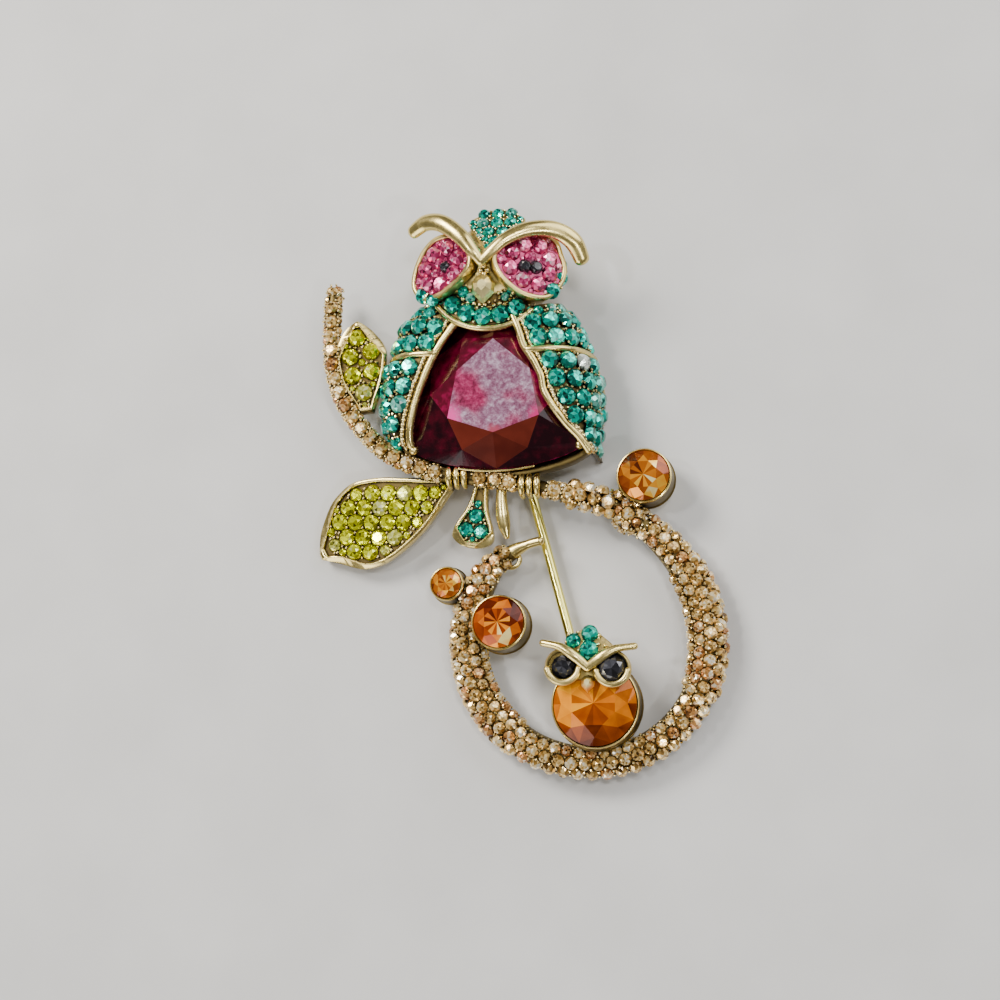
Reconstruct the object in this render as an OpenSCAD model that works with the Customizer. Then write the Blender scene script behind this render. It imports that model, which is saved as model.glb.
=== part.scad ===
// Owl brooch: a big owl with a rounded-triangle stone sits on a branch that curls
// into a ring, and a baby owl sits inside the ring.
// It lies on its back: X to the right, Y towards the big owl's head, Z towards the viewer.

/* [Metal] */
// Thickness of the cast walls
wall = 0.9; // [0.7:0.05:1.2]
// Half the thickness of the raised wire rims
rim_r = 0.5; // [0.4:0.05:0.65]
// Height of the owls' flat backs above the surface that the brooch lies on
back_z = 3.9; // [3.8:0.1:4.4]

/* [Ring] */
// Radius of the ring's centre line
ring_r = 14.5; // [13:0.25:16]
// Width of the ring's band at its left side
band_w = 4.7; // [4:0.1:5.4]
// Thickness of the ring's band
band_h = 4.6; // [4:0.1:5.2]

/* [Branch] */
// Rise of the branch, from the ring to its tip
branch_rise = 28.4; // [26:0.2:31]
// Thickness of the branch
branch_d = 2; // [1.7:0.1:2.3]
// Height of the branch's middle above the surface
branch_z = 5.3; // [5.1:0.1:5.8]

/* [Big owl] */
// Width of the rounded-triangle stone, from corner to corner
ruby_w = 23; // [21:0.5:25]
// Height of that stone's crown, from its widest line to its table
ruby_crown_h = 2.6; // [2.2:0.1:3]
// Depth of that stone below its widest line
ruby_back_h = 2; // [1.6:0.1:2.4]
// Width of the right wing at its middle
wing_w = 7; // [6:0.25:8]
// Height of the wings' inner edges above the surface
wing_h = 10; // [9.6:0.1:10.8]
// Distance between the middles of the two eyes
eye_gap = 11.1; // [10.4:0.1:12]
// Radius that the outlines of the eyes follow
eye_r = 4.15; // [3.8:0.05:4.6]
// Angle that each eye leans outwards
eye_lean = 26; // [20:1:32]
// Height of the middles of the eyes above the surface
eye_z = 11; // [10.6:0.1:11.6]

/* [Leaves] */
// Length of the large leaf
leaf_l = 20; // [18:0.5:22]
// Width of the large leaf
leaf_w = 11; // [10:0.25:12]
// Length of the small leaf
leaflet_l = 12; // [11:0.25:13]
// Width of the small leaf
leaflet_w = 6.2; // [5.8:0.1:6.8]
// Depth that the small leaf's edges are let into the left wing and into the branch
leaflet_join = 0.22; // [0.15:0.01:0.3]
// Length of the drop-shaped tail feather
tail_l = 8.4; // [7.5:0.1:9.4]
// Width of the drop-shaped tail feather
tail_w = 5.2; // [4.6:0.1:5.8]

/* [Baby owl] */
// Diameter of the stone that is its body
belly_d = 10; // [9:0.1:11]
// Diameter of its round eye rims
socket_d = 4.4; // [4:0.1:4.9]
// Distance between the middles of its eyes
socket_gap = 5.9; // [5.5:0.1:6.6]

/* [Stones] */
// Diameter of the amber stone at the upper right and the one inside the ring
amber_d = 6.1; // [5.4:0.1:6.6]
// Diameter of the small amber stone
amber_small_d = 3.6; // [3.2:0.1:4]
// Diameter of the stones in the leaves
leaf_stone_d = 1.95; // [1.7:0.05:2.1]
// Diameter of the stones on the wings, collar and tail
wing_stone_d = 2.05; // [1.8:0.05:2.3]
// Diameter of the stones in the big owl's eyes and on its forehead
eye_stone_d = 1.7; // [1.5:0.05:1.9]
// Diameter of the stones along the branch
branch_stone_d = 1.7; // [1.5:0.05:1.8]
// Clearance between a stone and its seat
seat_gap = 0.1; // [0.08:0.01:0.16]
// Clearance between neighbouring small stones
stone_gap = 0.2; // [0.15:0.01:0.3]

/* [Pin] */
// Diameter of the pin stem
stem_d = 1.15; // [1:0.05:1.3]
// Height of the stem's axis above the surface
stem_z = 1.9; // [1.8:0.05:2]
// Length of the stem's ground point
point_l = 5; // [4:0.5:6]
// Outer diameter of the stem's eye
knuckle_d = 2.4; // [2.2:0.1:2.6]
// Width of the stem's eye
knuckle_w = 1.6; // [1.4:0.1:2]
// Diameter of the stem's thicker root
root_d = 1.5; // [1.4:0.05:1.6]
// Length of the stem's thicker root, from the rivet's axis
root_l = 2.4; // [2.3:0.1:3]
// Diameter of the rivet
rivet_d = 0.8; // [0.7:0.05:1]
// Thickness of the sheet that the hinge and the catch are cut from
sheet_t = 0.6; // [0.5:0.05:0.7]
// Clearance between the rivet and its eye, and beside the eye
run_gap = 0.05; // [0.04:0.01:0.08]
// Clearance on each side of the stem in the catch
catch_gap = 0.15; // [0.1:0.01:0.25]
// Length of the hinge's plate
hinge_l = 4; // [3.6:0.1:4.2]
// Width of the catch's strip
catch_w = 1.8; // [1.5:0.1:2.2]
// Solder line between the findings and the back
solder = 0.05; // [0.03:0.01:0.1]

/* [Hidden] */

// Colours
old_gold = [0.62, 0.53, 0.32];
ruby_red = [0.45, 0.03, 0.12];
amber = [0.85, 0.42, 0.05];
teal = [0.02, 0.5, 0.42];
rose = [0.78, 0.2, 0.42];
peridot = [0.6, 0.65, 0.08];
champagne = [0.72, 0.55, 0.38];
jet = [0.05, 0.05, 0.06];
brass = [0.75, 0.65, 0.3];

// Numbers of sides and steps
tube_sides = 10;
rim_sides = 6;
stone_sides = 8;
cup_sides = 20;
spine_steps = 46;
branch_steps = 26;
wing_steps = 18;
wing_cols = 8;
rim_steps = 16;
tiny = 0.01;

// Path of the ring, from its plain twig end round to where the branch leaves it:
// [angle, share of ring_r, share of band_w, height of its middle as a share of branch_z]
RING = [
    [114, 0.92, 0.20, 0.86],
    [121, 0.95, 0.26, 0.80],
    [131, 0.99, 0.48, 0.62],
    [144, 1.02, 0.80, 0.47],
    [160, 1.02, 0.95, 0.434],
    [186, 1.00, 1.00, 0.434],
    [220, 0.995, 1.00, 0.434],
    [256, 0.995, 0.94, 0.434],
    [292, 1.02, 0.92, 0.434],
    [329, 1.035, 0.97, 0.434],
    [367, 1.01, 1.05, 0.46],
    [400, 1.03, 0.96, 0.48],
    [422, 1.08, 0.76, 0.58],
    [438, 1.175, 0.56, 0.76]
];

// Path of the branch, from the ring to its free tip:
// [share of branch_reach, share of branch_rise, share of branch_d, share of branch_z]
BRANCH = [
    [0.106, 0.029, 1.12, 0.92],
    [0.21, 0.06, 1.04, 0.98],
    [0.315, 0.09, 1.00, 1.00],
    [0.42, 0.112, 1.00, 1.00],
    [0.528, 0.13, 1.00, 1.00],
    [0.628, 0.156, 1.04, 1.00],
    [0.725, 0.205, 1.06, 0.98],
    [0.812, 0.271, 1.06, 0.96],
    [0.896, 0.384, 1.04, 0.93],
    [0.956, 0.505, 1.04, 0.90],
    [0.991, 0.652, 1.06, 0.86],
    [1.0, 0.814, 1.08, 0.80],
    [0.998, 0.985, 1.04, 0.74],
    [0.997, 1.0, 0.70, 0.74]
];

// Wings, from the head down to the branch:
// [angle about the big stone, inner edge as a share of the stone's outline,
//  direction of the outer edge, share of wing_w, share of wing_h]
LEFT_WING = [
    [107, 1.00, 160, 0.85, 0.93],
    [124, 0.98, 172, 1.02, 0.93],
    [140, 0.97, 180, 0.95, 0.93],
    [155, 0.96, 180, 0.92, 0.92],
    [172, 0.95, 180, 0.80, 0.90],
    [186, 0.955, 180, 0.69, 0.88],
    [198, 0.96, 183, 0.54, 0.85],
    [206, 0.97, 188, 0.34, 0.80],
    [210, 0.98, 196, 0.14, 0.76]
];
RIGHT_WING = [
    [75, 0.86, 22, 0.84, 0.98],
    [66, 0.78, 8, 0.98, 1.00],
    [54, 0.69, 3, 1.04, 1.00],
    [38, 0.675, 0, 1.00, 1.00],
    [15, 0.665, 0, 0.92, 1.00],
    [-3, 0.63, 0, 0.89, 1.00],
    [-16, 0.68, -2, 0.73, 0.98],
    [-25, 0.80, -4, 0.47, 0.92],
    [-29.5, 0.97, -6, 0.2, 0.84],
    [-33, 1.11, -10, 0.1, 0.77]
];
// How square the wings' cross-section is: 1 is an ellipse, less is squarer
wing_square = 0.72;
// Place of the crescent rim below each shoulder, as a share of the wing's length
left_crescent = 0.3;
right_crescent = 0.27;

// Leaf outlines from root to tip: [share of length, left edge and right edge as shares of width]
LARGE_LEAF = [
    [0, 0.05, -0.06], [0.1, 0.14, -0.13], [0.27, 0.29, -0.32], [0.42, 0.37, -0.48],
    [0.58, 0.415, -0.585], [0.7, 0.40, -0.56], [0.8, 0.33, -0.48], [0.93, 0.11, -0.27], [1, 0.01, -0.06]
];
SMALL_LEAF = [
    [0, 0.14, -0.12], [0.1, 0.24, -0.2], [0.29, 0.43, -0.35], [0.48, 0.52, -0.46],
    [0.68, 0.52, -0.49], [0.84, 0.40, -0.32], [0.94, 0.24, -0.14], [1, 0.05, 0.01]
];
TAIL_FEATHER = [
    [0, 0.17, -0.17], [0.22, 0.18, -0.2], [0.45, 0.26, -0.3], [0.68, 0.42, -0.48],
    [0.86, 0.47, -0.52], [0.96, 0.3, -0.34], [1, 0.06, -0.1]
];

// Stones of the small leaf: [share of its length, share of its width]
SMALL_LEAF_STONES = [
    [0.225, 0.03], [0.42, 0.23], [0.44, -0.17], [0.628, 0.24], [0.655, -0.2], [0.82, 0.07]
];

// Eye outlines: [angle, share of eye_r]
LEFT_EYE = [
    [18, 1.05], [60, 1.0], [100, 0.92], [139, 0.86], [180, 0.95], [206, 1.08], [232, 1.05],
    [260, 0.84], [290, 0.72], [330, 0.82], [355, 1.04]
];
RIGHT_EYE = [
    [17, 1.0], [46, 1.08], [75, 1.0], [98, 0.96], [132, 0.93], [172, 1.1], [202, 1.0],
    [238, 0.92], [270, 0.98], [300, 1.1], [330, 1.08], [354, 1.06]
];

// Brows from the middle outwards: [x and y as shares of eye_gap, z as a share of eye_z, share of brow_w]
LEFT_BROW = [
    [-0.02, -0.15, 1.15, 0.65], [-0.11, 0.04, 1.21, 0.95], [-0.25, 0.28, 1.2, 1.2],
    [-0.46, 0.47, 1.14, 1.25], [-0.66, 0.52, 1.05, 1.05], [-0.83, 0.45, 0.96, 0.75]
];
RIGHT_BROW = [
    [-0.02, -0.15, 1.15, 0.65], [0.11, 0.05, 1.21, 0.85], [0.28, 0.23, 1.2, 1.0],
    [0.51, 0.35, 1.15, 1.15], [0.77, 0.36, 1.06, 1.25], [0.97, 0.25, 0.96, 1.35], [1.06, 0.06, 0.86, 1.15]
];
brow_w = 1.7;
brow_h = 1.3;

// Baby owl's brows from the middle outwards:
// [x and y as shares of socket_gap, z as a share of the sockets' height, share of brow_w]
BABY_BROW = [
    [0, 0.0, 1.03, 0.45], [0.26, 0.2, 1.08, 0.5], [0.55, 0.38, 1.07, 0.42], [0.93, 0.46, 1.02, 0.2]
];

// Vector and interpolation helpers
function unit(v) = v / norm(v);
function flat(a) = [cos(a), sin(a)];
function turned(v, a) = [v.x * cos(a) - v.y * sin(a), v.x * sin(a) + v.y * cos(a)];
function side_of(n) = unit(cross(abs(n.z) < 0.95 ? [0, 0, 1] : [0, 1, 0], n));
function row_at(table, t) =
    let (
        n = len(table) - 1,
        x = min(max(t, 0) * n, n - tiny / 10),
        i = floor(x),
        f = x - i,
        a = table[max(i - 1, 0)],
        b = table[i],
        c = table[i + 1],
        d = table[min(i + 2, n)]
    )
    0.5 * (2 * b + (c - a) * f + (2 * a - 5 * b + 4 * c - d) * f * f + (3 * b - a - 3 * c + d) * f * f * f);
function rows(table, steps) = [for (i = [0:steps]) row_at(table, i / steps)];
// Running length along a list of points, as pairs of [length, share of the list]
function lengths(points) = [
    for (i = 0, l = 0; i < len(points);
        l = l + (i < len(points) - 1 ? norm(points[i + 1] - points[i]) : 0), i = i + 1)
    [l, i / (len(points) - 1)]
];
function last(list) = list[len(list) - 1];

// Skins between rings of points, and between two grids of points
function skin_faces(count, n, at = 0) = concat(
    [[for (j = [0:n - 1]) at + j]],
    [[for (j = [0:n - 1]) at + count * n - 1 - j]],
    [
        for (i = [0:count - 2], j = [0:n - 1], k = [0, 1])
        let (a = at + i * n + j, b = at + i * n + (j + 1) % n)
        k == 0 ? [a, a + n, b + n] : [a, b + n, b]
    ]
);
module tube(path, widths, heights, sides) {
    count = len(path);
    rings = [
        for (i = [0:count - 1])
        let (
            along = unit(path[min(i + 1, count - 1)] - path[max(i - 1, 0)]),
            across = unit(cross([0, 0, 1], along)),
            up = cross(along, across)
        )
        for (j = [0:sides - 1])
        path[i] + across * cos(360 * (j + 0.5) / sides) * widths[i] / 2
            + up * sin(360 * (j + 0.5) / sides) * heights[i] / 2
    ];
    polyhedron(rings, skin_faces(count, sides));
}
module wire(path, d) {
    sizes = [for (p = path) d];
    tube(path, sizes, sizes, rim_sides);
}
function grid_faces(nu, nv, at, flip) = [
    for (i = [0:nu - 2], j = [0:nv - 2], k = [0, 1])
    let (
        a = at + i * nv + j,
        t = k == 0 ? [a, a + 1, a + nv + 1] : [a, a + nv + 1, a + nv]
    )
    flip ? [t[2], t[1], t[0]] : t
];
function border(nu, nv) = concat(
    [for (j = [0:nv - 2]) j],
    [for (i = [0:nu - 2]) i * nv + nv - 1],
    [for (j = [nv - 1:-1:1]) (nu - 1) * nv + j],
    [for (i = [nu - 1:-1:1]) i * nv]
);
module plate_between(top, bottom, flip) {
    nu = len(top);
    nv = len(top[0]);
    edge = border(nu, nv);
    under = nu * nv;
    sides = [
        for (k = [0:len(edge) - 1], h = [0, 1])
        let (
            p = edge[k],
            q = edge[(k + 1) % len(edge)],
            t = h == 0 ? [q, p, p + under] : [q, p + under, q + under]
        )
        flip ? [t[2], t[1], t[0]] : t
    ];
    polyhedron(
        concat([for (r = top) each r], [for (r = bottom) each r]),
        concat(grid_faces(nu, nv, 0, flip), grid_faces(nu, nv, under, !flip), sides)
    );
}

// Small flat-backed stones: a list of [middle of the back, normal, diameter]
stone_table = 0.58;
stone_h = 0.34;
function stone_points(s) =
    let (across = side_of(s[1]), up = cross(s[1], across))
    [
        for (h = [0, 1], j = [0:stone_sides - 1])
        let (r = s[2] / 2 * (h == 0 ? 1 : stone_table), a = 360 * (j + 0.5) / stone_sides)
        s[0] + s[1] * (h * stone_h * s[2]) + across * r * cos(a) + up * r * sin(a)
    ];
module stones(list) {
    polyhedron(
        [for (s = list) each stone_points(s)],
        [for (k = [0:len(list) - 1]) each skin_faces(2, stone_sides, k * 2 * stone_sides)]
    );
}

// A large round stone with a table, star, kite and girdle facets, its girdle at z = 0
brilliant_table = 0.56;
brilliant_crown = 0.17;
brilliant_back = 0.2;
girdle_t = 0.2;
module brilliant(d) {
    n = 8;
    r = d / 2;
    top = d * brilliant_crown;
    table = [for (k = [0:n - 1]) [each (flat(360 / n * (k + 0.5)) * r * brilliant_table), top]];
    stars = [for (k = [0:n - 1]) [each (flat(360 / n * k) * r * 0.8), top * 0.56]];
    girdle = [for (k = [0:2 * n - 1]) [each (flat(180 / n * k) * r), 0]];
    belt = [for (p = girdle) [p.x, p.y, -girdle_t]];
    back = [for (p = girdle) [p.x * 0.45, p.y * 0.45, -d * brilliant_back]];
    g = 2 * n;
    b = g + 2 * n;
    k = b + 2 * n;
    polyhedron(
        concat(table, stars, girdle, belt, back),
        concat(
            [[for (i = [n - 1:-1:0]) i]],
            [for (i = [0:n - 1]) [i, (i + 1) % n, n + (i + 1) % n]],
            [for (i = [0:n - 1]) [n + i, i, g + 2 * i + 1]],
            [for (i = [0:n - 1]) [i, n + (i + 1) % n, g + 2 * i + 1]],
            [for (i = [0:n - 1]) [n + i, g + 2 * i + 1, g + 2 * i]],
            [for (i = [0:n - 1]) [n + (i + 1) % n, g + (2 * i + 2) % (2 * n), g + 2 * i + 1]],
            [for (i = [0:2 * n - 1]) [g + i, g + (i + 1) % (2 * n), b + (i + 1) % (2 * n), b + i]],
            [for (i = [0:2 * n - 1]) [b + i, b + (i + 1) % (2 * n), k + (i + 1) % (2 * n), k + i]],
            [[for (i = [0:2 * n - 1]) k + i]]
        )
    );
}
// The open cup that holds such a stone: its rim is level with the girdle, and it ends at floor_z
module cup(d, floor_z, rim = 0.35) {
    r = d / 2 + seat_gap;
    difference() {
        translate([0, 0, floor_z])
            cylinder(h = rim - floor_z, r = r + wall / 2, $fn = cup_sides);
        translate([0, 0, -d * brilliant_back - seat_gap])
            cylinder(h = d, r = r / cos(180 / cup_sides), $fn = cup_sides);
    }
}

// Rounded-triangle stone: the rise of its bowed sides, their radius and the outline
ruby_bow = 0.117 * ruby_w;
side_r = (pow(ruby_w / 2, 2) + pow(ruby_bow, 2)) / (2 * ruby_bow);
side_mid = ruby_w / (2 * sqrt(3)) + ruby_bow;
side_c = side_r - side_mid;
corner_soft = 14;
function side_dist(a) = -side_c * cos(a) + sqrt(side_r * side_r - pow(side_c * sin(a), 2));
function ruby_edge(a) = pow(
    pow(side_dist(a - 30), -corner_soft) + pow(side_dist(a - 150), -corner_soft)
        + pow(side_dist(a + 90), -corner_soft),
    -1 / corner_soft
);

// How far the left wing reaches sideways from the middle of that stone
function wing_reach(table) = max([
    for (i = [0:wing_steps])
    let (r = row_at(table, i / wing_steps))
    -cos(r[0]) * ruby_edge(r[0]) * r[1] - cos(r[2]) * r[3] * wing_w
]);
// Places along the branch, as shares of its path
owl_seat = 0.21;
left_foot = 0.313;
right_foot = 0.128;
// The branch reaches past the left wing and the small leaf, with the leaf's edges let into both
owl_share = row_at(BRANCH, owl_seat)[0];
beside_wing = wing_reach(LEFT_WING) - leaflet_join + leaflet_w / 2;
branch_reach = (beside_wing + leaflet_w / 2 - leaflet_join + branch_d / 2) / (1 - owl_share);

// Ring and branch
// Where the ring lies on the surface, its height comes from its own thickness
lying = 0.434;
function ring_row(r) = [
    each (flat(r[0]) * ring_r * r[1]),
    r[3] * branch_z - (r[3] < 0.5 ? lying * branch_z - band_h / 2 : 0),
    r[2] * band_w,
    r[2] * band_h
];
ring_path = [for (r = rows(RING, spine_steps)) ring_row(r)];
ring_end = last(ring_path);
function branch_row(r) = [
    ring_end.x - r[0] * branch_reach,
    ring_end.y + r[1] * branch_rise,
    r[3] * branch_z,
    r[2] * branch_d,
    r[2] * branch_d
];
branch_path = [for (r = rows(BRANCH, branch_steps)) branch_row(r)];
function place(row) = [row[0], row[1], row[2]];
function branch_at(t) = place(branch_row(row_at(BRANCH, t)));

ruby_c = [
    branch_at(owl_seat).x,
    branch_at(owl_seat).y + branch_d * 0.625 + side_mid,
    back_z + wall + seat_gap + ruby_back_h
];
ruby_steps = 36;
module ruby_shape(grow = 0) {
    n = ruby_steps;
    q = n / 6;
    function ring_of(share, z) = [
        for (i = [0:n - 1]) let (a = 360 / n * i) [each (flat(a) * (ruby_edge(a) * share + grow)), z]
    ];
    table = [
        for (k = [0:5])
        let (r = ruby_w * (k % 2 == 0 ? 0.228 : 0.285) + grow)
        [each (flat(60 * (k + 0.5)) * r), ruby_crown_h + grow]
    ];
    stars = [
        for (k = [0:5])
        let (r = ruby_edge(60 * k) * 0.8 + grow)
        [each (flat(60 * k) * r), ruby_crown_h * 0.45 + grow]
    ];
    girdle = ring_of(1, girdle_t / 2 + grow);
    belt = ring_of(1, -girdle_t / 2 - grow);
    back = ring_of(0.62, -ruby_back_h - grow);
    g = 12;
    b = g + n;
    k = b + n;
    polyhedron(
        concat(table, stars, girdle, belt, back),
        concat(
            [[5, 4, 3, 2, 1, 0]],
            [for (i = [0:5]) [i, (i + 1) % 6, 6 + (i + 1) % 6]],
            [for (i = [0:5]) [6 + i, i, g + q * i + q / 2]],
            [for (i = [0:5]) [i, 6 + (i + 1) % 6, g + q * i + q / 2]],
            [for (i = [0:5], j = [0:q / 2 - 1]) [6 + i, g + q * i + j + 1, g + q * i + j]],
            [
                for (i = [0:5], j = [q / 2:q - 1])
                [6 + (i + 1) % 6, g + (q * i + j + 1) % n, g + q * i + j]
            ],
            [for (i = [0:n - 1]) [g + i, g + (i + 1) % n, b + (i + 1) % n, b + i]],
            [for (i = [0:n - 1]) [b + i, b + (i + 1) % n, k + (i + 1) % n, k + i]],
            [[for (i = [0:n - 1]) k + i]]
        )
    );
}
module ruby_outline(grow) {
    polygon([
        for (i = [0:ruby_steps - 1])
        let (a = 360 / ruby_steps * i)
        flat(a) * (ruby_edge(a) + grow)
    ]);
}
module ruby_cell() {
    translate([ruby_c.x, ruby_c.y, back_z]) {
        linear_extrude(branch_z + branch_d * 0.45 - back_z)
            intersection() {
                ruby_outline(seat_gap + wall);
                circle(r = ruby_edge(-30), $fn = 2 * ruby_steps);
            }
        linear_extrude(wing_h * 0.82 - back_z)
            intersection() {
                ruby_outline(seat_gap + wall);
                circle(r = ruby_w * 0.42, $fn = ruby_steps);
            }
    }
}

// Wings: a point at share t of the length and share v from the inner edge to the outer one
function wing_edge(table, t) =
    let (r = row_at(table, t))
    [ruby_c.x, ruby_c.y] + flat(r[0]) * ruby_edge(r[0]) * r[1];
function wing_at(table, t, v, inset = 0) =
    let (
        r = row_at(table, t),
        w = max(r[3] * wing_w - inset, r[3] * wing_w * 0.35),
        h = r[4] * wing_h - inset,
        p = wing_edge(table, t) + flat(r[2]) * w * pow(max(sin(90 * v), 0), wing_square)
    )
    [p.x, p.y, h * pow(max(cos(90 * v), 0), wing_square)];
function wing_out(table, t, v, hand) =
    let (
        s = 0.02,
        a = wing_at(table, min(t + s, 1), v) - wing_at(table, max(t - s, 0), v),
        b = wing_at(table, t, min(v + s, 1)) - wing_at(table, t, max(v - s, 0))
    )
    unit(cross(b, a) * hand);
function profile(table, t) = lengths([for (i = [0:16]) wing_at(table, t, i / 16)]);
module wing(table, flip) {
    us = [for (i = [0:wing_steps]) i / wing_steps];
    vs = [for (j = [0:wing_cols]) j / wing_cols];
    plate_between(
        [for (u = us) [for (v = vs) wing_at(table, u, v)]],
        [for (u = us) [for (v = vs) wing_at(table, u, v, wall)]],
        flip
    );
}
module wing_rim(table) {
    wire([for (i = [1:rim_steps]) wing_at(table, i / rim_steps, 0) - [0, 0, rim_r * 0.2]], 2 * rim_r);
}
module crescent(table, at) {
    wire([for (v = [0:0.1:0.9]) wing_at(table, at, v)], 2 * rim_r);
}
// Stones in rows down a wing on both sides of its crescent, as many across as its width holds
function wing_layout(table, hand, d, shoulder) =
    let (
        pitch = d + stone_gap,
        row_step = d + 1.5 * stone_gap,
        middle = lengths([for (i = [0:24]) wing_at(table, i / 24, 0.3)]),
        total = last(middle)[0],
        crest = lookup(shoulder, [for (m = middle) [m[1], m[0]]]),
        beside = rim_r + d / 2 + 1.6 * seat_gap,
        upper = [for (l = [crest - beside:-row_step:0.1 * total]) l],
        lower = [for (l = [crest + beside:row_step:total - 0.8 * pitch]) l]
    )
    [
        for (l = concat(upper, lower))
        let (
            t = lookup(l, middle),
            across = profile(table, t),
            room = last(across)[0] - rim_r - row_at(table, t)[4] * wing_h * 0.42,
            cols = floor(room / pitch)
        )
        if (cols > 0)
            for (c = [0:cols - 1])
            let (
                v = lookup(rim_r + seat_gap + pitch * (c + 0.5) + (room - cols * pitch) * 0.3, across),
                n = wing_out(table, t, v, hand)
            )
            [wing_at(table, t, v) + n * 1.4 * seat_gap, n, d]
    ];

// Head
head_c = [ruby_c.x - eye_r * 0.157, ruby_c.y + ruby_edge(90) + eye_r * 0.65];
function eye_place(s) = [head_c.x + s * eye_gap / 2, head_c.y, eye_z];
module at_eye(s) {
    translate(eye_place(s)) rotate([0, s * eye_lean, 0]) children();
}
function blob(table, steps, r) = [
    for (i = [0:steps - 1])
    let (
        n = len(table),
        x = i * n / steps,
        k = floor(x),
        f = x - k,
        a = table[k],
        b = table[(k + 1) % n] + (k == n - 1 ? [360, 0] : [0, 0]),
        p = a + (b - a) * f
    )
    flat(p[0]) * r * p[1]
];
eye_tray_h = 1.2;
module eye_tray(table) {
    difference() {
        translate([0, 0, -eye_tray_h])
            linear_extrude(eye_tray_h + rim_r)
                polygon(blob(table, 24, eye_r + rim_r));
        linear_extrude(rim_r + tiny) polygon(blob(table, 24, eye_r - rim_r));
    }
}
module brow(table) {
    list = rows(table, 11);
    tube(
        [for (r = list) [head_c.x + r[0] * eye_gap, head_c.y + r[1] * eye_gap, r[2] * eye_z]],
        [for (r = list) r[3] * brow_w],
        [for (r = list) (0.4 + 0.6 * r[3]) * brow_h],
        8
    );
}
// Forehead plate, leaning back, with its lower point between the brows
crown_w = 6.6;
crown_l = 6.4;
crown_lean = 30;
crown_c = [head_c.x + eye_gap * 0.108, head_c.y + eye_gap * 0.46, eye_z - wall];
crown_top_r = crown_w * 0.2;
module at_crown() {
    translate(crown_c) rotate([-crown_lean, 0, 0]) children();
}
module crown_plate() {
    at_crown() hull() {
        for (e = [-1, 1])
            translate([e * crown_w * 0.36, crown_l * 0.16, -wall])
                cylinder(h = wall, r = crown_w * 0.18, $fn = 16);
        translate([0, crown_l * 0.36, -wall]) cylinder(h = wall, r = crown_top_r, $fn = 16);
        translate([-crown_w * 0.09, -crown_l * 0.5, -wall])
            cylinder(h = wall, r = crown_w * 0.12, $fn = 12);
    }
}
// Block below the eyes: the thickness of its upper slices, the height of its base and the base's half sizes
slice_h = 0.4;
head_base_h = 1;
head_base = [eye_gap * 0.74, eye_r * 1.2];
module head_block() {
    hull() {
        at_eye(-1)
            translate([0, 0, -eye_tray_h - slice_h / 2])
                linear_extrude(slice_h)
                    polygon(blob(LEFT_EYE, 16, eye_r * 0.9));
        at_eye(1)
            translate([0, 0, -eye_tray_h - slice_h / 2])
                linear_extrude(slice_h)
                    polygon(blob(RIGHT_EYE, 16, eye_r * 0.9));
        translate([head_c.x, head_c.y + eye_r * 0.1, back_z])
            linear_extrude(head_base_h)
                polygon([for (i = [0:19]) let (e = flat(18 * i)) [e.x * head_base.x, e.y * head_base.y]]);
        at_crown() translate([0, 0, -wall - slice_h]) cylinder(h = slice_h, r = crown_w * 0.4, $fn = 12);
    }
}
// Faceted beak, with its lower end over the collar
beak_l = 3.9;
beak_w = 2.3;
beak_h = 1.7;
module lozenge(l, w, h) {
    hull() {
        translate([0, 0, h]) cube([w * 0.3, l * 0.3, tiny], center = true);
        cylinder(h = h * 0.3, r1 = w * 0.35, r2 = w / 2, $fn = 8);
        translate([0, -l * 0.5, 0]) cylinder(h = h * 0.4, r = w * 0.14, $fn = 6);
        translate([0, l * 0.42, 0]) cylinder(h = h * 0.4, r = w * 0.2, $fn = 6);
    }
}

// Collar: a curved plate below the head, over the top of the big stone, as long as its row of stones
collar_turn = -5;
collar_r = 6.6;
collar_w = 2.7;
collar_stone_d = wing_stone_d * 0.97;
collar_count = 5;
collar_step = (collar_stone_d + stone_gap) / collar_r * 180 / PI;
collar_half = collar_step * collar_count / 2;
collar_c = [head_c.x + collar_r * 0.015, head_c.y + collar_r * 0.045, wing_h + wall / 6];
// The collar's ends lie lower than its middle by this share of collar_r for each degree
collar_fall = 0.0015;
function collar_at(a, out) = collar_c + [
    each (flat(270 + collar_turn + a) * (collar_r + out)),
    -collar_fall * collar_r * abs(a)
];
module collar() {
    steps = 8;
    angles = [for (i = [0:steps]) (2 * i / steps - 1) * collar_half];
    plate_between(
        [for (a = angles) [for (o = [-1, 0, 1]) collar_at(a, o * collar_w / 2)]],
        [for (a = angles) [for (o = [-1, 0, 1]) collar_at(a, o * collar_w / 2) - [0, 0, wall]]],
        true
    );
    wire([for (a = angles) collar_at(a, collar_w / 2)], 1.6 * rim_r);
}

// Leaves: a tray with a raised rim, its root at the origin and its tip along X
function leaf_edge(table, l, w) =
    let (list = rows(table, 11))
    concat(
        [for (r = list) [r[0] * l, r[1] * w]],
        [for (i = [len(list) - 1:-1:0]) [list[i][0] * l, list[i][2] * w]]
    );
tray_h = 0.9;
module leaf(table, l, w, rim) {
    difference() {
        translate([0, 0, -tray_h])
            linear_extrude(tray_h + rim * 0.8)
                polygon(leaf_edge(table, l, w));
        linear_extrude(rim + tray_h) offset(delta = -rim) polygon(leaf_edge(table, l, w));
    }
}
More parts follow.
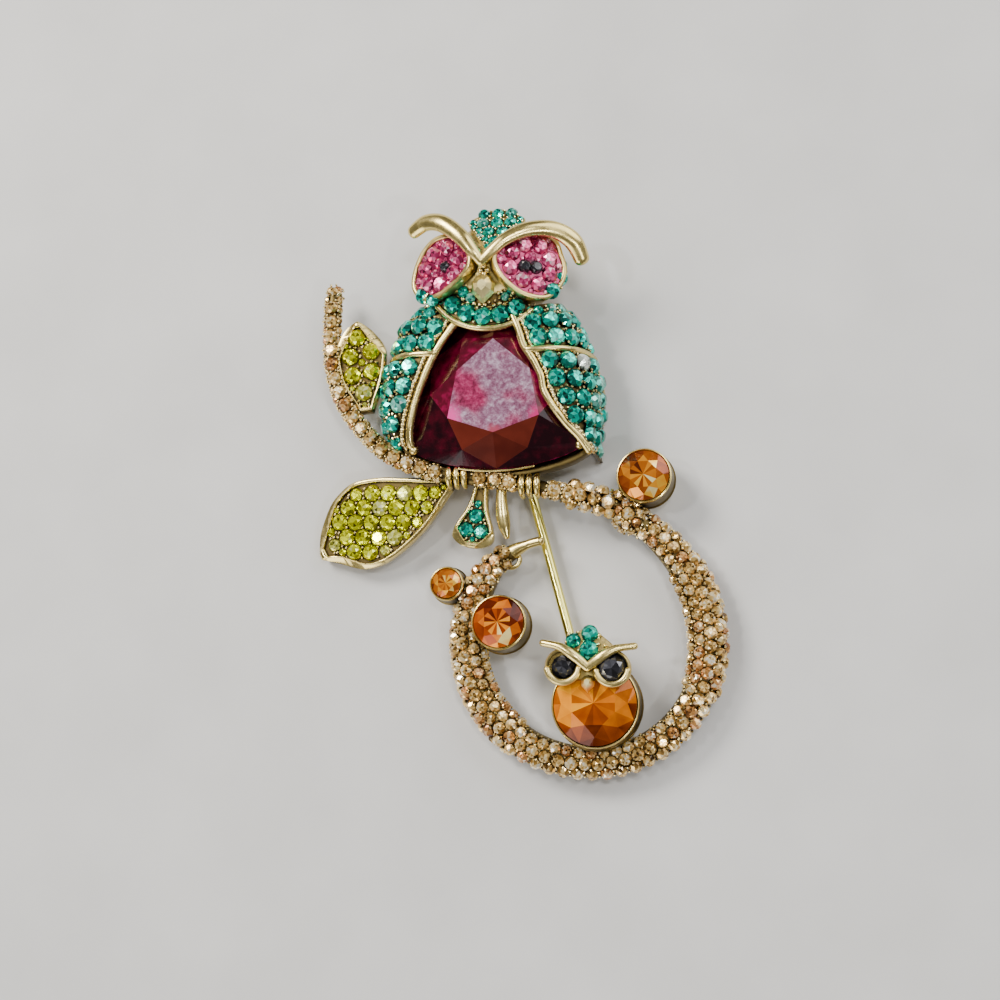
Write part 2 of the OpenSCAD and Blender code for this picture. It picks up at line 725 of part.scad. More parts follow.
// Stones in staggered columns across a leaf, wherever they are clear of the rim:
// the first column stands at share first of the length, the lattice is moved by share shift of the width
function leaf_layout(table, l, w, rim, d, first, shift) =
    let (
        pitch = d + stone_gap,
        column = pitch * sqrt(3) / 2 + tiny,
        edge = rim + d / 2 + seat_gap,
        shapes = rows(table, 60)
    )
    [
        for (i = [0:floor((1 - first) * l / column)])
        let (
            x = first * l + i * column,
            near = [for (r = shapes) if (abs(r[0] * l - x) < d * 0.45) r],
            low = max([for (r = near) r[2] * w]) + edge,
            high = min([for (r = near) r[1] * w]) - edge,
            base = shift * w + (i % 2) * pitch / 2
        )
        if (high > low)
            for (k = [ceil((low - base) / pitch):1:floor((high - base) / pitch)])
            [[x, base + k * pitch, seat_gap], [0, 0, 1], d]
    ];

leaf_root = branch_at(0.327) + branch_d * [0, -0.25, -0.15];
leaf_turn = 207;
leaf_drop = 10;
module at_large_leaf() {
    translate(leaf_root) rotate([0, 0, leaf_turn]) rotate([0, leaf_drop, 0]) children();
}
leaflet_foot = branch_at(0.615) + branch_d * [0, 0.7, 0.15];
leaflet_root = [ruby_c.x - beside_wing + leaflet_l * 0.082, leaflet_foot.y, leaflet_foot.z];
leaflet_turn = 96;
module at_small_leaf() {
    translate(leaflet_root) rotate([0, 0, leaflet_turn]) children();
}
tail_root = branch_at(0.252) - branch_d * [0, 0.1, 0.1];
tail_turn = 260;
tail_drop = 6;
module at_tail() {
    translate(tail_root) rotate([0, 0, tail_turn]) rotate([0, tail_drop, 0]) children();
}
// Plain narrow feather beside the drop-shaped one: its widths are shares of feather_w
feather_l = 6.4;
feather_w = 1.5;
FEATHER = [0.87, 0.87, 1, 1.13, 1, 0.47];
module narrow_feather() {
    start = branch_at(0.203) - branch_d * [0, 0.2, 0.1];
    path = [
        for (i = [0:5])
        let (s = i / 5)
        start + feather_l * [0.176 * s * s - 0.094 * s, -s, -0.11 * s]
    ];
    tube(path, feather_w * FEATHER, 0.7 * feather_w * FEATHER, rim_sides);
}

// Feet: claws over the branch
claw_d = 0.85;
claw_pitch = 0.95;
module foot(t) {
    for (k = [-1:1]) {
        p = branch_at(t) + [k * claw_pitch, 0, 0];
        r = branch_d / 2 + claw_d * 0.41;
        wire([for (a = [150:-29:5]) p + [0, -cos(a) * r, sin(a) * r * 1.05]], claw_d);
    }
}

// Amber stones beside the ring:
// [angle, distance from the ring's middle, height of the girdle, height of the cup's foot]
upper_amber = [68.6, 1.1 * ring_r + 0.844 * amber_d, 1.19 * branch_z, 0.49 * branch_z];
inner_amber = [169, 1.02 * ring_r - 0.732 * amber_d, 1.32 * branch_z, 0.6 * branch_z];
small_amber = [157.2, 1.02 * ring_r + 1.015 * amber_small_d, 0.943 * branch_z, 0.377 * branch_z];
function amber_at(a) = [each (flat(a[0]) * a[1]), a[2]];

// Baby owl: the belly's middle, and the head's middle above it
belly_z = back_z + wall + seat_gap + belly_d * brilliant_back;
belly_angle = -79;
belly_c = [each (flat(belly_angle) * (ring_r - band_w / 2 - belly_d * 0.395)), belly_z];
baby_head = belly_c + [-belly_d * 0.05, belly_d * 0.415, belly_d * brilliant_crown + wall];
baby_lean = -3;
function socket_place(s) = baby_head + [each turned([s * socket_gap / 2, 0], baby_lean), 0];
module at_baby_head() {
    translate([baby_head.x, baby_head.y, 0]) rotate([0, 0, baby_lean]) children();
}
baby_stone_d = [0.57 * socket_d, 0.68 * socket_d];
socket_floor = 0.5;
baby_plate_z = baby_head.z - socket_floor;
socket_sides = 14;
module baby_frame() difference() {
    union() {
        translate(belly_c) cup(belly_d, back_z - belly_c.z, 0.1);
        for (e = [-1, 1])
            translate(socket_place(e) - [0, 0, 2 * socket_floor])
                cylinder(h = 2 * socket_floor + rim_r, r = socket_d / 2, $fn = socket_sides);
        at_baby_head() baby_face();
    }
    translate(belly_c) {
        r = (belly_d / 2 + seat_gap) / cos(180 / cup_sides);
        under = belly_d * brilliant_back + seat_gap;
        translate([0, 0, -under]) cylinder(h = under + tiny, r = r, $fn = cup_sides);
        cylinder(h = belly_d * brilliant_crown + seat_gap, r1 = r, r2 = belly_d * 0.34, $fn = cup_sides);
    }
    for (e = [-1, 1])
        translate(socket_place(e) - [0, 0, socket_floor])
            cylinder(h = socket_d, r = socket_d / 2 - rim_r, $fn = socket_sides);
}
// Corners of the baby owl's neck and forehead: [x, y and radius as shares of socket_gap]
BABY_NECK = [[-0.034, 0.627, 0.203], [-0.322, 0.441, 0.17], [0.305, 0.407, 0.17], [0, 0.1, 0.1]];
module baby_face() {
    translate([-socket_gap / 2, -socket_gap * 0.237, baby_plate_z - wall])
        cube([socket_gap, socket_gap * 0.407, wall]);
    translate([0, 0, back_z])
        hull()
            for (c = socket_gap * BABY_NECK)
                translate([c[0], c[1], 0]) cylinder(h = baby_plate_z - back_z, r = c[2], $fn = 12);
    for (e = [-1, 1]) {
        list = rows(BABY_BROW, 6);
        tube(
            [for (r = list) [e * r[0] * socket_gap, r[1] * socket_gap, r[2] * baby_head.z]],
            [for (r = list) r[3] * brow_w],
            [for (r = list) 0.5 * brow_h],
            rim_sides
        );
    }
    translate([socket_gap * 0.017, -socket_gap * 0.322, baby_plate_z - 2 * seat_gap])
        lozenge(socket_gap * 0.322, socket_gap * 0.254, socket_gap * 0.254);
}

// Everything is drawn about the ring's middle, then moved so that the origin is under the
// middle of the whole brooch
leaf_tip = leaf_root.x + cos(leaf_turn) * cos(leaf_drop) * leaf_l
    - sin(leaf_turn) * last(LARGE_LEAF)[2] * leaf_w;
left_end = min(branch_at(0.88).x - branch_d * 0.54, leaf_tip);
tube_flat = cos(180 / tube_sides) / 2;
right_end = max([for (p = ring_path) p.x + p[3] * tube_flat]);
low_end = min([for (p = ring_path) p.y - p[3] * tube_flat]);
high_end = crown_c.y + (crown_l * 0.36 + crown_top_r) * cos(crown_lean);
module centred() {
    translate([-(left_end + right_end) / 2, -(low_end + high_end) / 2, 0]) children();
}

module frame() color(old_gold) centred() difference() {
    union() {
        spine();
        ruby_cell();
        wing(LEFT_WING, true);
        wing(RIGHT_WING, false);
        wing_rim(LEFT_WING);
        wing_rim(RIGHT_WING);
        crescent(LEFT_WING, left_crescent);
        crescent(RIGHT_WING, right_crescent);
        head();
        collar();
        foot(left_foot);
        foot(right_foot);
        at_large_leaf() leaf(LARGE_LEAF, leaf_l, leaf_w, rim_r * 1.2);
        at_small_leaf() leaf(SMALL_LEAF, leaflet_l, leaflet_w, rim_r * 1.1);
        at_tail() leaf(TAIL_FEATHER, tail_l, tail_w, rim_r * 1.1);
        narrow_feather();
        translate(amber_at(upper_amber)) cup(amber_d, upper_amber[3] - upper_amber[2]);
        translate(amber_at(inner_amber)) cup(amber_d, inner_amber[3] - inner_amber[2]);
        translate(amber_at(small_amber)) cup(amber_small_d, small_amber[3] - small_amber[2]);
        baby_frame();
    }
    translate(ruby_c) ruby_shape(seat_gap);
}
module spine() {
    path = concat(ring_path, branch_path);
    tube([for (p = path) place(p)], [for (p = path) p[3]], [for (p = path) p[4]], tube_sides);
}
module head() {
    head_block();
    at_eye(-1) eye_tray(LEFT_EYE);
    at_eye(1) eye_tray(RIGHT_EYE);
    brow(LEFT_BROW);
    brow(RIGHT_BROW);
    crown_plate();
    translate([head_c.x - eye_r * 0.024, head_c.y - eye_r * 0.747, eye_z + eye_r * 0.048])
        lozenge(beak_l, beak_w, beak_h);
}

module ruby_stone() color(ruby_red) centred() translate(ruby_c) ruby_shape();
module amber_upper() color(amber) centred() translate(amber_at(upper_amber)) brilliant(amber_d);
module amber_inner() color(amber) centred() translate(amber_at(inner_amber)) brilliant(amber_d);
module amber_small() color(amber) centred() translate(amber_at(small_amber)) brilliant(amber_small_d);
module baby_belly() color(amber) centred() translate(belly_c) brilliant(belly_d);
module baby_eye_left() color(jet) centred()
    stones([[socket_place(-1) + [0, 0, seat_gap - socket_floor], [0, 0, 1], baby_stone_d[0]]]);
module baby_eye_right() color(jet) centred()
    stones([[socket_place(1) + [0, 0, seat_gap - socket_floor], [0, 0, 1], baby_stone_d[1]]]);
// Stones on the baby owl's forehead: [x, y and diameter as shares of socket_gap]
BABY_CROWN = [[0, 0.356, 0.322], [0, 0.695, 0.288], [-0.33, 0.542, 0.254]];
module baby_crown_stones() color(teal) centred() at_baby_head()
    stones([for (c = socket_gap * BABY_CROWN) [[c[0], c[1], baby_plate_z + seat_gap], [0, 0, 1], c[2]]]);

// Eye stones: a ring of stones along the outline and a few in the middle, some of them dark
function eye_ring(table, d) =
    let (
        line = blob(table, 48, eye_r - rim_r - d / 2 - 2.6 * seat_gap),
        around = lengths(concat(line, [line[0]])),
        n = floor(last(around)[0] / (d + 1.5 * stone_gap))
    )
    [
        for (k = [0:n - 1])
        let (p = line[round(lookup(k / n * last(around)[0], around) * 48) % 48])
        [[p.x, p.y, seat_gap], [0, 0, 1], d]
    ];
function eye_middle(d, from) = [
    for (k = [0:2]) [[each (flat(from + 120 * k) * d * 0.66), seat_gap], [0, 0, 1], d]
];
left_middle = eye_middle(0.277 * eye_r, 0);
right_middle = eye_middle(0.313 * eye_r, 90);
module left_eye_stones() color(rose) centred() at_eye(-1)
    stones(concat(eye_ring(LEFT_EYE, eye_stone_d), [left_middle[1]]));
module right_eye_stones() color(rose) centred() at_eye(1)
    stones(concat(eye_ring(RIGHT_EYE, eye_stone_d), [right_middle[0]]));
module pupil_stones() color(jet) centred() {
    at_eye(-1) stones([left_middle[0]]);
    at_eye(1) stones([right_middle[1], right_middle[2]]);
}
module crown_stones() color(teal) centred() at_crown() {
    d = eye_stone_d * 0.9;
    pitch = d + stone_gap;
    stones([
        for (row = [0:3])
        let (n = [3, 3, 2, 1][row])
        for (k = [0:n - 1])
        [[(k - (n - 1) / 2) * pitch, crown_l * 0.38 - row * pitch * 0.95, seat_gap], [0, 0, 1], d]
    ]);
}
module collar_stones() color(teal) centred()
    stones([
        for (k = [0:collar_count - 1])
        let (p = collar_at((k - (collar_count - 1) / 2) * collar_step, -collar_w * 0.055))
        [p + [0, 0, 1.6 * seat_gap], [0, 0, 1], collar_stone_d]
    ]);
module left_wing_stones() color(teal) centred()
    stones(wing_layout(LEFT_WING, 1, wing_stone_d, left_crescent));
module right_wing_stones() color(teal) centred()
    stones(wing_layout(RIGHT_WING, -1, wing_stone_d, right_crescent));
module tail_stones() color(teal) centred() at_tail()
    stones([
        for (p = [[0.52, -0.02], [0.74, 0.15], [0.74, -0.215]])
        [[p[0] * tail_l, p[1] * tail_w, seat_gap], [0, 0, 1], wing_stone_d * 0.82]
    ]);
module small_leaf_stones() color(peridot) centred() at_small_leaf()
    stones([
        for (p = SMALL_LEAF_STONES)
        [[p[0] * leaflet_l, p[1] * leaflet_w, seat_gap], [0, 0, 1], leaf_stone_d]
    ]);
module large_leaf_stones() color(peridot) centred() at_large_leaf()
    stones(leaf_layout(LARGE_LEAF, leaf_l, leaf_w, rim_r * 1.2, leaf_stone_d, 0.225, -0.073));
module branch_stones() color(champagne) centred() {
    along = lengths([for (i = [0:60]) branch_at(i / 60)]);
    pitch = branch_stone_d + stone_gap;
    count = floor((last(along)[0] - pitch) / pitch);
    stones([
        for (k = [0:count])
        let (
            t = lookup(pitch * (k + 0.7), along),
            p = branch_row(row_at(BRANCH, t)),
            clear = 1.5 * claw_pitch + branch_stone_d / 2
        )
        if (abs(p.x - branch_at(left_foot).x) > clear && abs(p.x - branch_at(right_foot).x) > clear)
            [place(p) + [0, 0, p[4] / 2 + seat_gap], [0, 0, 1], branch_stone_d]
    ]);
}

// Pin: from the hinge under the big stone to the catch under the baby owl's head
hinge_c = [ruby_c.x - ruby_w * 0.013, ruby_c.y + ruby_w * 0.126, stem_z];
catch_c = [baby_head.x - socket_gap * 0.33, baby_head.y + socket_gap * 0.017, stem_z];
stem_l = norm(catch_c - hinge_c) + catch_w / 2 + stem_d / 2;
stem_turn = atan2(catch_c.y - hinge_c.y, catch_c.x - hinge_c.x);
ear_gap = knuckle_w / 2 + 2 * run_gap;
module at_hinge() {
    translate(hinge_c) rotate([0, 0, stem_turn]) children();
}
// Local frame at the hinge: X along the stem, Y along the rivet
module pin_stem() color(brass) centred() at_hinge() difference() {
    union() {
        rotate([90, 0, 0])
            cylinder(h = knuckle_w, d = knuckle_d, center = true, $fn = 48);
        rotate([0, 90, 0]) cylinder(h = root_l, d1 = root_d, d2 = stem_d, $fn = 32);
        rotate([0, 90, 0]) cylinder(h = stem_l - point_l, d = stem_d, $fn = 32);
        translate([stem_l - point_l, 0, 0]) rotate([0, 90, 0])
            cylinder(h = point_l, d1 = stem_d, d2 = stem_d * 0.25, $fn = 32);
    }
    rotate([90, 0, 0])
        cylinder(h = 2 * knuckle_w, d = rivet_d + 2 * run_gap, center = true, $fn = 48);
}
module pin_hinge() color(brass) centred() at_hinge() {
    top = back_z - solder - stem_z;
    half = ear_gap + sheet_t;
    translate([-hinge_l / 2, -half - sheet_t, top - sheet_t])
        cube([hinge_l, 2 * (half + sheet_t), sheet_t]);
    for (s = [-1, 1])
        translate([0, s * (ear_gap + sheet_t / 2), 0]) rotate([90, 0, 0]) {
            cylinder(h = sheet_t, d = knuckle_d, center = true, $fn = 48);
            translate([-knuckle_d / 2, 0, -sheet_t / 2])
                cube([knuckle_d, top - sheet_t / 2, sheet_t]);
        }
    rotate([90, 0, 0]) cylinder(h = 2 * half, d = rivet_d, center = true, $fn = 48);
}
// A strip bent into a hook that is open away from the back
module pin_catch() color(brass) centred() {
    inner = stem_d / 2 + catch_gap;
    outer = inner + sheet_t;
    top = back_z - solder - stem_z;
    translate(catch_c) rotate([0, 0, stem_turn]) translate([-catch_w / 2, 0, 0])
        rotate([90, 0, 90]) linear_extrude(catch_w) difference() {
            union() {
                circle(r = outer, $fn = 48);
                translate([-outer, -stem_d]) square([2 * outer, stem_d]);
                translate([-outer, 0]) square([2 * outer, top]);
            }
            circle(r = inner, $fn = 48);
            translate([-inner, -2 * outer]) square([2 * inner, 2 * outer]);
        }
}

frame();
ruby_stone();
amber_upper();
amber_inner();
amber_small();
baby_belly();
baby_eye_left();
baby_eye_right();
baby_crown_stones();
crown_stones();
collar_stones();
left_wing_stones();
right_wing_stones();
tail_stones();
left_eye_stones();
right_eye_stones();
pupil_stones();
small_leaf_stones();
large_leaf_stones();
branch_stones();
pin_hinge();
pin_stem();
pin_catch();
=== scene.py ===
import bpy
import bmesh
import math
import random
import numpy as np
from mathutils import Matrix, Vector


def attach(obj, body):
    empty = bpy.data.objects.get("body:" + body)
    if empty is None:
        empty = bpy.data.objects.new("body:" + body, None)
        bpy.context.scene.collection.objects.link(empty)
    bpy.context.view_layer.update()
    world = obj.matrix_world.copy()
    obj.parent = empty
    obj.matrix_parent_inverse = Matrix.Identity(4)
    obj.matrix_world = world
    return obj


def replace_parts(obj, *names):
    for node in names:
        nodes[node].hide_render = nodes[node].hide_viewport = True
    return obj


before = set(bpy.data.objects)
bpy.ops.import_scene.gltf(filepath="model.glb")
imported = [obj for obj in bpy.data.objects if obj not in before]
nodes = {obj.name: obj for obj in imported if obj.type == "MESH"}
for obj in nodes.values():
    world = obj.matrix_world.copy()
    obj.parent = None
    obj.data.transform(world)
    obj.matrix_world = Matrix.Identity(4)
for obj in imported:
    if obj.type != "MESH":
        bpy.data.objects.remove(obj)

random.seed(7)
MM = 0.001
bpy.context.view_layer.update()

# Sizes, as in the solids (mm and degrees)
wall, rim_r, back_z, seat_gap = 0.9, 0.5, 3.9, 0.1
ring_r, band_w, band_h = 14.5, 4.7, 4.6
branch_reach, branch_rise, branch_d, branch_z = 35.6009, 28.4, 2.0, 5.3
ruby_w, ruby_crown_h, ruby_back_h = 23.0, 2.6, 2.0
wing_w, wing_h, wing_square, left_wing_reach = 7.0, 10.0, 0.72, 14.9055
eye_gap, eye_r, eye_lean, eye_z = 11.1, 4.15, 26.0, 11.0
crown_w, crown_l, crown_lean = 6.6, 6.4, 30
brow_w, brow_h = 1.7, 1.3
collar_r, collar_w, collar_d = 6.6, 2.7, 1.9885
leaf_l, leaf_w, leaflet_l, leaflet_w = 20.0, 11.0, 12.0, 6.2
leaf_turn, leaf_drop, leaf_overlap = 207, 10, 0.22
tail_l, tail_w = 8.4, 5.2
belly_d, socket_d, socket_gap = 10.0, 4.4, 5.9
amber_d, amber_small_d = 6.1, 3.6
feet_at, claw_d = (0.313, 0.128), 0.85

# Angle, distance, thickness and height along the ring
RING = [
    (114, 0.92, 0.2, 0.86), (121, 0.95, 0.26, 0.8), (131, 0.99, 0.48, 0.62),
    (144, 1.02, 0.8, 0.47), (160, 1.02, 0.95, 0.434), (186, 1, 1, 0.434),
    (220, 0.995, 1, 0.434), (256, 0.995, 0.94, 0.434), (292, 1.02, 0.92, 0.434),
    (329, 1.035, 0.97, 0.434), (367, 1.01, 1.05, 0.46), (400, 1.03, 0.96, 0.48),
    (422, 1.08, 0.76, 0.58), (438, 1.175, 0.56, 0.76)]
# Reach, rise, thickness and height along the branch
BRANCH = [
    (0.106, 0.029, 1.12, 0.92), (0.21, 0.06, 1.04, 0.98), (0.315, 0.09, 1, 1),
    (0.42, 0.112, 1, 1), (0.528, 0.13, 1, 1), (0.628, 0.156, 1.04, 1),
    (0.725, 0.205, 1.06, 0.98), (0.812, 0.271, 1.06, 0.96), (0.896, 0.384, 1.04, 0.93),
    (0.956, 0.505, 1.04, 0.9), (0.991, 0.652, 1.06, 0.86), (1, 0.814, 1.08, 0.8),
    (0.998, 0.985, 1.04, 0.74), (0.997, 1, 0.7, 0.74)]
# Angle and distance of a wing's ridge round the big stone, then the face's direction, width and height
LEFT_WING = [
    (107, 1, 160, 0.85, 0.93), (124, 0.98, 172, 1.02, 0.93), (140, 0.97, 180, 0.95, 0.93),
    (155, 0.96, 180, 0.92, 0.92), (172, 0.95, 180, 0.8, 0.9), (186, 0.955, 180, 0.69, 0.88),
    (198, 0.96, 183, 0.54, 0.85), (206, 0.97, 188, 0.34, 0.8), (210, 0.98, 196, 0.14, 0.76)]
RIGHT_WING = [
    (75, 0.86, 22, 0.84, 0.98), (66, 0.78, 8, 0.98, 1), (54, 0.69, 3, 1.04, 1),
    (38, 0.675, 0, 1, 1), (15, 0.665, 0, 0.92, 1), (-3, 0.63, 0, 0.89, 1),
    (-16, 0.68, -2, 0.73, 0.98), (-25, 0.8, -4, 0.47, 0.92), (-29.5, 0.97, -6, 0.2, 0.84),
    (-33, 1.11, -10, 0.1, 0.77)]
# Distance from the root, then the two sides of a leaf or feather
LARGE_LEAF = [
    (0, 0.05, -0.06), (0.1, 0.14, -0.13), (0.27, 0.29, -0.32), (0.42, 0.37, -0.48),
    (0.58, 0.415, -0.585), (0.7, 0.4, -0.56), (0.8, 0.33, -0.48), (0.93, 0.11, -0.27),
    (1, 0.01, -0.06)]
SMALL_LEAF = [
    (0, 0.14, -0.12), (0.1, 0.24, -0.2), (0.29, 0.43, -0.35), (0.48, 0.52, -0.46),
    (0.68, 0.52, -0.49), (0.84, 0.4, -0.32), (0.94, 0.24, -0.14), (1, 0.05, 0.01)]
TAIL_FEATHER = [
    (0, 0.17, -0.17), (0.22, 0.18, -0.2), (0.45, 0.26, -0.3), (0.68, 0.42, -0.48),
    (0.86, 0.47, -0.52), (0.96, 0.3, -0.34), (1, 0.06, -0.1)]
# Angle and radius round an eye
LEFT_EYE = [
    (18, 1.05), (60, 1), (100, 0.92), (139, 0.86), (180, 0.95), (206, 1.08), (232, 1.05),
    (260, 0.84), (290, 0.72), (330, 0.82), (355, 1.04)]
RIGHT_EYE = [
    (17, 1), (46, 1.08), (75, 1), (98, 0.96), (132, 0.93), (172, 1.1), (202, 1),
    (238, 0.92), (270, 0.98), (300, 1.1), (330, 1.08), (354, 1.06)]
# Place, height and thickness along a brow, as drawn from the photo
LEFT_BROW = [
    (-0.02, 0, 1.18, 0.7), (-0.11, 0.12, 1.21, 0.95), (-0.25, 0.3, 1.2, 1.2),
    (-0.46, 0.47, 1.14, 1.32), (-0.66, 0.52, 1.05, 1.25), (-0.83, 0.45, 0.96, 1.05)]
RIGHT_BROW = [
    (-0.02, 0, 1.18, 0.7), (0.11, 0.11, 1.21, 0.85), (0.28, 0.25, 1.2, 1),
    (0.51, 0.35, 1.15, 1.15), (0.77, 0.36, 1.06, 1.25), (0.97, 0.25, 0.96, 1.35),
    (1.06, 0.06, 0.86, 1.15)]
BABY_BROW = [
    (0, 0, 1.03, 0.45), (0.26, 0.2, 1.08, 0.5), (0.55, 0.38, 1.07, 0.42), (0.93, 0.46, 1.02, 0.2)]


def cosd(a):
    return math.cos(math.radians(a))


def sind(a):
    return math.sin(math.radians(a))


def V(*a):
    return np.array(a, float)


def unit(v):
    return v / max(np.linalg.norm(v), 1e-12)


def flat(a):
    return V(cosd(a), sind(a))


def polar(a, r, z):
    return V(*(flat(a) * r), z)


def between(a, b, f):
    return a * (1 - f) + b * f


def curve(a, b, c, d, f):
    """A Catmull-Rom curve from b to c."""
    bend, twist = 2 * a - 5 * b + 4 * c - d, 3 * b - a - 3 * c + d
    return 0.5 * (2 * b + (c - a) * f + bend * f * f + twist * f ** 3)


def row_at(table, t):
    """The row at t, from 0 to 1, on the curve through a table's rows."""
    table = np.asarray(table, float)
    n = len(table) - 1
    x = min(max(t, 0) * n, n - 0.001)
    i = int(x)
    return curve(table[max(i - 1, 0)], table[i], table[i + 1], table[min(i + 2, n)], x - i)


def rows(table, steps):
    return [row_at(table, i / steps) for i in range(steps + 1)]


def rot(axis, a):
    i, j = {"x": (1, 2), "y": (2, 0), "z": (0, 1)}[axis]
    m = np.eye(3)
    m[i, i] = m[j, j] = cosd(a)
    m[i, j], m[j, i] = -sind(a), sind(a)
    return m


class Place:
    """A local frame: a turn, then a move."""
    def __init__(self, at=(0, 0, 0), turn=np.eye(3)):
        self.at, self.turn = np.asarray(at, float), turn

    def __call__(self, p):
        return np.asarray(p, float) @ self.turn.T + self.at


# Paths as rows of x, y, z, width and height
def ring_row(r):
    return V(*(flat(r[0]) * ring_r * r[1]), r[3] * branch_z, r[2] * band_w, r[2] * band_h)


ring_end = ring_row(row_at(RING, 1))


def branch_row(r):
    return V(ring_end[0] - r[0] * branch_reach, ring_end[1] + r[1] * branch_rise,
             r[3] * branch_z, r[2] * branch_d, r[2] * branch_d)


def branch_at(t):
    return branch_row(row_at(BRANCH, t))[:3]


ring_path = np.array([ring_row(r) for r in rows(RING, 240)])
branch_path = np.array([branch_row(r) for r in rows(BRANCH, 220)])

# The big stone's outline: three arcs, rounded together at the corners
ruby_bow = 0.117 * ruby_w
side_r = ((ruby_w / 2) ** 2 + ruby_bow ** 2) / (2 * ruby_bow)
side_mid = ruby_w / (2 * math.sqrt(3)) + ruby_bow
side_c = side_r - side_mid


def side_dist(a):
    return -side_c * cosd(a) + math.sqrt(side_r ** 2 - (side_c * sind(a)) ** 2)


def ruby_edge(a):
    return sum(side_dist(a + turn) ** -14 for turn in (-30, -150, 90)) ** (-1 / 14)


ruby_c = V(branch_at(0.21)[0], branch_at(0.21)[1] + branch_d * 0.625 + side_mid,
           back_z + wall + seat_gap + ruby_back_h)
head_c = V(ruby_c[0] - eye_r * 0.157, ruby_c[1] + ruby_edge(90) + eye_r * 0.65)
crown_c = V(head_c[0] + eye_gap * 0.108, head_c[1] + eye_gap * 0.46, eye_z - wall)
leaf_root = branch_at(0.327) + V(0, -0.5, -0.3)

# Everything is drawn about the ring's middle, then moved as the solids are, whose ring has a path of 46
# steps and a section of 10 sides
section_half = cosd(18) / 2
coarse = np.array([ring_row(r) for r in rows(RING, 46)])
leaf_reach = cosd(leaf_turn) * cosd(leaf_drop) * leaf_l
leaf_tip = leaf_root[0] + leaf_reach - sind(leaf_turn) * LARGE_LEAF[-1][2] * leaf_w
left_end = min(branch_at(0.88)[0] - branch_d * 0.54, leaf_tip)
right_end = (coarse[:, 0] + coarse[:, 3] * section_half).max()
low_end = (coarse[:, 1] - coarse[:, 3] * section_half).min()
high_end = crown_c[1] + (crown_l * 0.36 + crown_w * 0.2) * cosd(crown_lean)
OFF = V(-(left_end + right_end) / 2, -(low_end + high_end) / 2, 0)


# Mesh building
class Soup:
    """Vertices in the source's millimetres, faces, a material index and a tone for each face."""
    def __init__(self):
        self.v, self.f, self.m, self.t = [], [], [], []

    def add(self, verts, faces, mat=0, tone=0.5):
        at = len(self.v)
        self.v += [tuple(p) for p in np.asarray(verts, float)]
        self.f += [[at + i for i in f] for f in faces]
        self.m += [mat] * len(faces)
        self.t += tone if isinstance(tone, list) else [tone] * len(faces)

    def make(self, name, mats, angle, slot):
        mesh = bpy.data.meshes.new(name)
        mesh.from_pydata(((np.array(self.v) + OFF) * MM).tolist(), [], self.f)
        for m in mats:
            mesh.materials.append(m)
        mesh.polygons.foreach_set("material_index", self.m)
        mesh.attributes.new("tone", "FLOAT", "FACE").data.foreach_set("value", self.t)
        if angle is None:
            mesh.shade_flat()
        else:
            mesh.shade_smooth()
            mesh.set_sharp_from_angle(angle=math.radians(angle))
        mesh.validate()
        mesh.update()
        o = bpy.data.objects.new(name, mesh)
        bpy.context.scene.collection.objects.link(o)
        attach(o, "brooch")
        return o


def turn_out(o, merge=None):
    """Turns the faces outwards, after merging points that lie this near each other."""
    bm = bmesh.new()
    bm.from_mesh(o.data)
    if merge:
        bmesh.ops.remove_doubles(bm, verts=bm.verts, dist=merge)
    bmesh.ops.recalc_face_normals(bm, faces=bm.faces)
    bm.to_mesh(o.data)
    bm.free()


def cast(s, name, mats, angle, turn=False, stands=True):
    """A piece of the casting; all but the throat stand for the solid called frame."""
    o = s.make(name, mats, angle, "antique_gold")
    if turn:
        turn_out(o)
    if stands:
        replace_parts(o, "frame")


def set_with(s, name, mats, slot, smooth_from):
    """Stones with flat facets, and smooth metal from one material index on."""
    o = s.make(name, mats, 20, slot)
    for p in o.data.polygons:
        p.use_smooth = p.material_index >= smooth_from
    return o


def skin(count, n, out=False):
    """The faces between closed rings of n points each."""
    f = []
    for i in range(count - 1):
        for j in range(n):
            a, b = i * n + j, i * n + (j + 1) % n
            f.append([a, a + n, b + n, b] if out else [a, b, b + n, a + n])
    return f


def frames(path, up=(0, 0, 1)):
    """The directions along, across and up at each point of a path."""
    k = len(path)
    out = []
    for i in range(k):
        along = unit(path[min(i + 1, k - 1)] - path[max(i - 1, 0)])
        across = unit(np.cross(up, along))
        out.append((along, across, np.cross(along, across)))
    return out


def tube(s, path, widths, heights, sides=16, mat=0, up=(0, 0, 1)):
    """A round-ended tube along a path; a path that runs straight up is given another up."""
    path = np.asarray(path, float)
    line, pts = frames(path, up), []
    for p, (_, across, rise), w, h in zip(path, line, widths, heights):
        for j in range(sides):
            a = 2 * math.pi * j / sides
            pts.append(p + across * math.cos(a) * w / 2 + rise * math.sin(a) * h / 2)
    faces = skin(len(path), sides, True)
    for e, sign in ((0, -1), (len(path) - 1, 1)):
        along, half_d = line[e][0] * sign, min(widths[e], heights[e]) / 2
        base = last = range(e * sides, (e + 1) * sides)
        for q in (0.5, 0.85):
            row = range(len(pts), len(pts) + sides)
            pts += [path[e] + (pts[i] - path[e]) * math.sqrt(1 - q * q) + along * q * half_d for i in base]
            for j in range(sides):
                k = (j + 1) % sides
                faces.append([last[j], row[j], row[k], last[k]][::sign])
            last = row
        pts.append(path[e] + along * half_d)
        faces += [[last[j], len(pts) - 1, last[(j + 1) % sides]][::sign] for j in range(sides)]
    s.add(pts, faces, mat)


def wire(s, path, d, sides=12, mat=0):
    tube(s, path, [d] * len(path), [d] * len(path), sides, mat)


